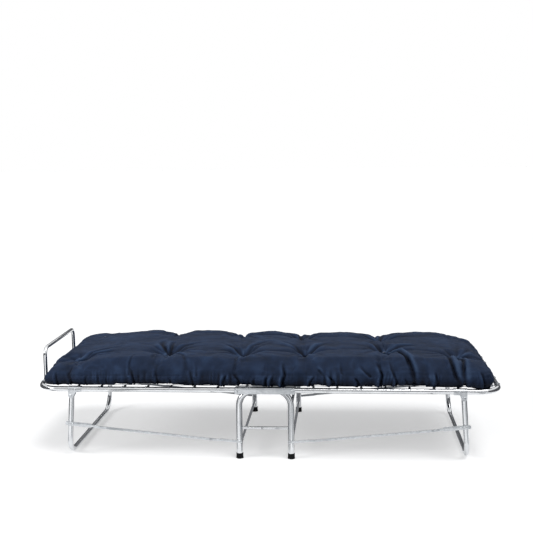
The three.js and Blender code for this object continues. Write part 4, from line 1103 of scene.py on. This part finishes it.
def hold_of(points, rim, walls):
    """How firmly the cloth is held at each point, from 0 to 1: the underside fast, the walls less
    towards their top, the valleys in part, and the tufts by the pull of their ties."""
    count = NX * NY
    held = np.zeros(len(points))
    held[count : 2 * count] = 1.0
    held[walls] = np.linspace(0.25, 0.85, WALL_ROWS)[:, None]
    held[rim] = 0.4
    x, y = points[:count, :2].T
    held[:count] = np.maximum(held[:count], 0.5 * smooth((tuft_depth(x, y) - 0.2) / 0.5))
    for tuft, pull in zip(TUFTS, TUFT_PULL):
        r = np.hypot(x - tuft[0], y - tuft[1])
        near = np.nonzero(r < 9 * MM)[0]
        held[near if len(near) else [np.argmin(r)]] = pull
    return held


def fill_pad(made, held):
    """Blows the cloth up against its ties: a short simulation with pressure and no gravity. Each
    point's travel is capped."""
    group = made.vertex_groups.new(name="held")
    levels = np.round(held, 2)
    for level in np.unique(levels[levels > 0]):
        group.add(np.nonzero(levels == level)[0].tolist(), float(level), "REPLACE")
    cloth = made.modifiers.new("cover", "CLOTH")
    settings = {
        "quality": 6, "mass": 0.25, "tension_stiffness": 12, "compression_stiffness": 12,
        "shear_stiffness": 4, "bending_stiffness": 0.4, "tension_damping": 12, "use_pressure": True,
        "uniform_pressure_force": 5, "shrink_min": -0.05, "vertex_group_mass": group.name,
        "pin_stiffness": 1.0,
    }
    for key, value in settings.items():
        setattr(cloth.settings, key, value)
    cloth.settings.effector_weights.gravity = 0
    cloth.collision_settings.use_collision = False
    cloth.collision_settings.use_self_collision = False
    scene = bpy.context.scene
    for step in range(1, 21):
        scene.frame_set(step)
    filled = made.evaluated_get(bpy.context.evaluated_depsgraph_get())
    rest = read(made.data.vertices, "co", 3, float)
    travel = read(filled.data.vertices, "co", 3, float) - rest
    length = np.linalg.norm(travel, axis=1, keepdims=True)
    travel *= np.minimum(1, TRAVEL_CAP / np.maximum(length, 1e-9))
    made.modifiers.remove(cloth)
    made.vertex_groups.remove(group)
    scene.frame_set(1)
    return rest + travel


def surface_normals(points, quads):
    """Mean of the faces' normals at each point, from the crossed diagonals of its faces."""
    a, b, c, d = (points[quads[:, k]] for k in range(4))
    faces = np.cross(c - a, d - b)
    total = [np.bincount(quads.ravel(), np.repeat(faces[:, k], 4), len(points)) for k in range(3)]
    return unit(np.stack(total, axis=-1))


def off_the_seat(z):
    """0 at the pad's lower edge and 1 a few millimetres over it."""
    return smooth((z - 0.2995) / (4 * MM))


def tuft_creases(x, y):
    """Creases that run out from each tuft like |cos(n a / 2)|, and the pit under its tie."""
    height = np.zeros(len(x))
    for number, (tuft, pull) in enumerate(zip(TUFTS, TUFT_PULL)):
        r = np.hypot(x - tuft[0], y - tuft[1]) + 1e-6
        a = np.arctan2(y - tuft[1], x - tuft[0])
        spokes = 9 + number % 3
        bent = a * spokes / 2 + 0.9 * np.sin(2 * a + number) + 1.7 * number
        reach = 46 * MM * (1 + 0.35 * np.sin(3 * a + 2 * number))
        crease = np.abs(np.cos(bent)) ** 0.7 - 0.75
        height += pull * (6 * MM * crease * (r / reach) * np.exp(1 - r / reach))
        height -= pull * 15 * MM * bell(r, 12 * MM)
    return height


def fold_relief(x, over):
    """Grooves along the folds and creases, each fading towards its end, with a raised lip that is
    higher on one side."""
    height = np.zeros(len(x))
    for path, depth, half in FOLDS:
        near, where, side = np.full(len(x), 1.0), np.zeros(len(x)), np.ones(len(x))
        for k, (start, end) in enumerate(zip(path[:-1], path[1:])):
            r, t = line_distance(x, over, start, end)
            d = end - start
            own_side = np.sign((x - start[0]) * d[1] - (over - start[1]) * d[0])
            closer = r < near
            near = np.where(closer, r, near)
            side = np.where(closer, own_side, side)
            where = np.where(closer, (k + t) / (len(path) - 1), where)
        strength = np.sqrt(np.clip(1.03 - where, 0, 1)) * depth * MM
        lip = bell(near - 2 * half * MM, 1.6 * half * MM) * np.where(side > 0, 0.1, 0.8)
        height -= strength * (1.5 * bell(near, half * MM) - lip)
    return height


def side_gathers(x, z, along, inside):
    """Gathers of the walls at the seam, broader waves of the shoulders, and the seam's groove."""
    wall, shoulder = (
        smooth((reach - inside) / width) * off_the_seat(z)
        for reach, width in ((28 * MM, 20 * MM), (95 * MM, 60 * MM))
    )
    leaning_along = along + 0.25 * (z - SEAM_Z) * wander(along, 130 * MM, 21)
    fine = 1 - np.abs(wander(leaning_along, 13 * MM, 22)) * 2
    broad = wander(leaning_along, 41 * MM, 23)
    above = np.exp(-np.clip(z - SEAM_Z, 0, None) / (15 * MM))
    below = np.exp(-np.clip(SEAM_Z - z, 0, None) / (45 * MM))
    strength = np.clip(0.35 + 0.9 * wander(along, 90 * MM, 24), 0, 1)
    fine *= np.where(z > SEAM_Z, above, below) * strength
    seam = 0.346 + 8 * MM * x + 1.5 * MM * wander(along, 75 * MM, 25)
    groove = 1.6 * MM * (1 + wander(along, 110 * MM, 26)) * bell(z - seam, 2.8 * MM)
    waves = 2.6 * MM * broad * smooth((0.39 - z) / (40 * MM))
    return wall * (6.0 * MM * fine - groove) + shoulder * waves


def gathers(points):
    """Signed height of the cover's relief, in metres along the surface's normal: the creases and
    pits of the tufts, the folds, the side seam with its gathers, and dents."""
    x, y, z = points.T
    along, inside = round_edge(x, y)
    upper = smooth((z - UPPER_Z) / (18 * MM))
    down = np.clip(SHOULDER_Z - z, 0, None) * smooth((30 * MM - inside) / (25 * MM))
    over = y + np.sign(y) * down
    dents = patches(x, y, 63 * MM, 31) + 0.6 * patches(x + 0.3 * y, y - 0.2 * x, 29 * MM, 32)
    height = tuft_creases(x, y) * upper + fold_relief(x, over) + side_gathers(x, z, along, inside)
    return height + 1.6 * MM * dents * upper * smooth(inside / (60 * MM))


def pleats(points):
    """Signed height in metres of the fine upright pleats that gather round the walls: ridged random
    patches 11 mm wide and 65 mm long, growing from nothing at the crown to full height on the wall;
    and of the cover's crumples, ridges between random patches 30 mm wide."""
    x, y, z = points.T
    along, inside = round_edge(x, y)
    down = np.clip(PLEATS_Z - z, 0, None) * smooth((45 * MM - inside) / (35 * MM))
    fading = smooth((down - 8 * MM) / (42 * MM)) * off_the_seat(z)
    upright = 1 - 2 * np.abs(patches(along, 0.17 * down, 11 * MM, 41))
    broken = np.clip(0.55 + 0.8 * patches(along, down, 70 * MM, 42), 0, 1)
    over = y + np.sign(y) * down
    bent_x = x + 16 * MM * patches(x, over, 55 * MM, 43)
    ridged = 1 - 2 * np.abs(patches(bent_x, over, 30 * MM, 44))
    return 1.9 * MM * upright * fading * broken + 0.7 * MM * ridged * smooth((z - 0.31) / (30 * MM))


def build_mattress():
    points, faces, rim, walls = pad_grid()
    whole = new_object("pad_blank", (points, faces), DRILL)
    filled = fill_pad(whole, hold_of(points, rim, walls))
    whole.data.vertices.foreach_set("co", filled.astype(np.float32).ravel())
    smoother = whole.modifiers.new("smoother", "SUBSURF")
    smoother.levels = smoother.render_levels = 1
    fine = whole.evaluated_get(bpy.context.evaluated_depsgraph_get()).data
    points = read(fine.vertices, "co", 3, float)
    quads = read(fine.loops, "vertex_index").reshape(-1, 4)
    bpy.data.objects.remove(whole)
    exposed = points[:, 2] > PAD_SEAT + 0.5 * MM
    pleated = pleats(points) * exposed
    relief = gathers(points) * exposed + pleated
    points = points + surface_normals(points, quads) * relief[:, None]
    # colour height: the relief, the pleats counted again as painted shade in their narrow folds,
    # less the painted shade of walls, pits and valleys
    painted_shade_height = relief + pleated - painted_shade_depth(*points.T)
    for end, x in ENDS.items():
        split_half(end, x, points, quads, painted_shade_height)
        tuft_ties(end, x, points)


def painted_shade_depth(x, y, z):
    """Painted shade: how much deeper than its relief the cloth's colour takes each point to lie, in
    metres: more in three steps down the walls to the edge that tucks under, and in the pits and
    valleys."""
    # painted shade: darker in three steps down the walls, then in the pits and valleys
    painted_wall_shade = 1.4 * MM * smooth((0.375 - z) / (25 * MM)) + 3.5 * MM * smooth((0.35 - z) / (38 * MM))
    painted_wall_shade += 2.5 * MM * smooth((0.322 - z) / (20 * MM))
    return painted_wall_shade + 6.5 * MM * tuft_depth(x, y) ** 1.3 * smooth((z - 0.33) / (20 * MM))


def across_the_fold(made, end):
    """Bakes the piece's place into its mesh, the same at both ends."""
    if end == "head":
        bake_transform(made)
    else:
        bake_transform(made)


def split_half(end, x, points, quads, painted_shade_height):
    """One half of the pad, closed by a flat face where the two halves meet across the middle."""
    on_side = points[quads].mean(axis=1)[:, 0] * x > 0
    used, renumbered = np.unique(quads[on_side], return_inverse=True)
    own = points[used].copy()
    own_quads = renumbered.reshape(-1, 4)
    edges = np.concatenate([own_quads[:, [k, (k + 1) % 4]] for k in range(4)])
    keys, reverse = (edges.astype(np.int64) @ pair for pair in ([len(own), 1], [1, len(own)]))
    open_edges = edges[~np.isin(keys, reverse)]
    own[np.unique(open_edges), 0] = 0.0
    following = dict(zip(open_edges[:, 1].tolist(), open_edges[:, 0].tolist()))
    loop = [int(open_edges[0, 1])]
    while following[loop[-1]] != loop[0]:
        loop.append(following[loop[-1]])
    made = new_object(f"mattress_{end}_half", (own, [own_quads, np.array([loop])]), DRILL)
    on_cover = read(made.data.polygons, "loop_total").ravel() == 4
    made.data.polygons.foreach_set("use_smooth", on_cover)
    made.data.set_sharp_from_angle(angle=math.radians(75))
    # the relief attribute carries the painted shade and painted highlight of the cloth's colour
    height = made.data.attributes.new("relief", "FLOAT", "POINT")
    level = np.clip(0.5 + painted_shade_height[used] / PAINTED_SHADE_RANGE, 0, 1)
    height.data.foreach_set("value", level.astype(np.float32))
    across_the_fold(made, end)
    if end == "head":
        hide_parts("mattress_head", "mattress_middle")
    else:
        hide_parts("mattress_foot")


def tuft_ties(end, x, points):
    """A knot of thread in each tuft: two crossed arches of 7 mm reach and 3 mm rise."""
    parts = []
    t = np.linspace(-1, 1, 13)[:, None]
    for number, tuft in enumerate(TUFTS[TUFTS[:, 0] * x > 0]):
        r = np.hypot(points[:, 0] - tuft[0], points[:, 1] - tuft[1]) + (points[:, 2] < 0.33)
        pit = points[np.argmin(r)]
        for turn in (0.4 + number, 2.1 + number):
            across = math.cos(turn) * X + math.sin(turn) * Y
            bow = pit + t * 7 * MM * across + (3 * (1 - t**2) - 0.6) * MM * Z
            parts.append(wire_path(bow, 0.9 * MM, 6))
    made = new_object(f"tuft_ties_{end}_half", joined(parts), THREAD)
    across_the_fold(made, end)


# ------------------------------------------------------------ stage, light and camera
FLOOR_HALF = 40.0
FLOOR_GLOW = 0.485
SKY_LIGHT = 0.28
# greys at which the screens glow, seen only in the metal: painted reflections in the plating
DARK_SCREEN_GLOW, GREY_SCREEN_GLOW, PALE_CARD_GLOW, GREY_CARD_GLOW = "#5a5b5e", "#7c7d80", "#c6c8ca", "#939497"
CAMERA_PLACE = (0.3097, -4.0832, 1.2776)
CAMERA_TURN = (4.52, 7.46, -0.75)  # left, down and rolled, in degrees
CAMERA_LENS, CAMERA_FILM = 64.53, 36.0  # in millimetres


def seen_directly(tree):
    """1 for camera, glossy and transmission rays, 0 for the others."""
    path = add(tree, "LightPath").outputs
    rays = {0: path["Is Camera Ray"], 1: path["Is Glossy Ray"]}
    rays = {0: add(tree, "Math", rays, operation="MAXIMUM"), 1: path["Is Transmission Ray"]}
    return add(tree, "Math", rays, operation="MAXIMUM")


def sheet(name, corners, look):
    """A flat four-cornered piece of the stage."""
    made = new_object(name, (np.array(corners, float), [np.array([[0, 1, 2, 3]])]), look)
    return made


def build_stage():
    """A white sky, and a very large white floor with a little light of its own to the eye."""
    paper = bpy.data.materials.new("white_paper_sweep")
    tree = emptied(paper)
    matt = add(tree, "BsdfDiffuse", {"Color": linear("#dedede")})
    share = add(tree, "Math", {0: seen_directly(tree), 1: FLOOR_GLOW}, operation="MULTIPLY")
    glow = add(tree, "Emission", {"Color": linear("#ffffff"), "Strength": share})
    add(tree, "OutputMaterial", {"Surface": add(tree, "AddShader", {0: matt, 1: glow})})
    corners = np.array([(-1, -1), (1, -1), (1, 1), (-1, 1)]) * FLOOR_HALF
    sheet("floor", [(x, y, -0.5 * MM) for x, y in corners], paper)

    world = bpy.data.worlds.new("white_room")
    bpy.context.scene.world = world
    tree = emptied(world)
    shown = add(tree, "Background", {"Color": linear("#ffffff"), "Strength": 1.0})
    lighting = add(tree, "Background", {"Color": linear("#f3f6fb"), "Strength": SKY_LIGHT})
    mixed = add(tree, "MixShader", {0: seen_directly(tree), 1: lighting, 2: shown})
    add(tree, "OutputWorld", {"Surface": mixed})


def screen(name, start, end, height, grey):
    """An upright glowing screen between two places on the floor that only the metal sees, a painted
    reflection: the dark ones draw the dark lines in the plating, and the pale ones its pale lines."""
    screen_glow = bpy.data.materials.new("glowing_screen_" + name)
    tree = emptied(screen_glow)
    # the screen glows at its grey though it is no lamp
    add(tree, "OutputMaterial", {"Surface": add(tree, "Emission", {"Color": linear(grey)})})
    made = sheet(name, [(*start, 0), (*end, 0), (*end, height), (*start, height)], screen_glow)
    made.visible_camera = False
    made.visible_diffuse = False
    made.visible_shadow = False


def lamp(kind, name, place, turn, **settings):
    light = bpy.data.lights.new(name, kind)
    for key, value in settings.items():
        setattr(light, key, value)
    made = bpy.data.objects.new(name, light)
    made.location = place
    made.rotation_euler = turn
    bpy.context.scene.collection.objects.link(made)


def build_light():
    """An even light from above, a soft box that gives the tubes their bright line, and screens that
    glow at fixed greys, seen only in the metal: painted reflections in the plating.
    """
    slant = math.radians(13), math.radians(19), 0
    lamp("SUN", "overhead_light", (0, 0, 0), slant, energy=1.7, angle=math.radians(36))
    place, target = Vector((-3.4, -1.8, 1.7)), Vector((0.0, 0.0, 0.3))
    facing = (target - place).to_track_quat("-Z", "Y").to_euler()
    box = {"shape": "RECTANGLE", "size": 1.4, "size_y": 0.9, "energy": 60}
    lamp("AREA", "key_light", place, facing, **box)
    # glowing screens seen only in the metal: painted reflections, the low ones under the bed
    # painted dark for its shade
    for side, y in SIDES.items():
        screen(f"{side}_flag", (-6, 5.5 * y), (6, 5.5 * y), 2.4, DARK_SCREEN_GLOW)
        screen(f"low_{side}_flag", (-0.7, 0.25 * y), (0.7, 0.25 * y), 0.2, GREY_SCREEN_GLOW)
    for end, x in ENDS.items():
        screen(f"low_{end}_flag", (1.35 * x, -0.7), (1.35 * x, 0.7), 0.55, DARK_SCREEN_GLOW)
        for piece, upright in (("arch", x * LEG_X), ("leg", x * LEG_PIVOT[0])):
            right, left = upright + 0.14, upright - 0.12
            screen(f"right_card_{end}_{piece}", (right, -0.38), (right, -0.95), 0.24, PALE_CARD_GLOW)
            screen(f"left_card_{end}_{piece}", (left, -0.34), (left, -0.39), 0.24, GREY_CARD_GLOW)


def build_camera():
    """Camera at its place, from the turn of its line of sight."""
    yaw, pitch, roll = (math.radians(a) for a in CAMERA_TURN)
    ahead = Vector((-math.sin(yaw), math.cos(yaw), 0)) * math.cos(pitch)
    forward = ahead - Vector((0, 0, math.sin(pitch)))
    level = Vector((math.cos(yaw), math.sin(yaw), 0))
    above = level.cross(forward)
    right = math.cos(roll) * level + math.sin(roll) * above
    up = -math.sin(roll) * level + math.cos(roll) * above
    camera = bpy.data.cameras.new("camera")
    camera.sensor_width = CAMERA_FILM
    camera.lens = CAMERA_LENS
    made = bpy.data.objects.new("camera", camera)
    turn = Matrix((right, up, -forward)).transposed()
    made.matrix_world = Matrix.Translation(CAMERA_PLACE) @ turn.to_4x4()
    bpy.context.scene.collection.objects.link(made)
    bpy.context.scene.camera = made


build_stand()
build_frames()
build_legs()
build_mesh()
build_mattress()
build_stage()
build_light()
build_camera()
bpy.context.scene.view_settings.view_transform = "Standard"
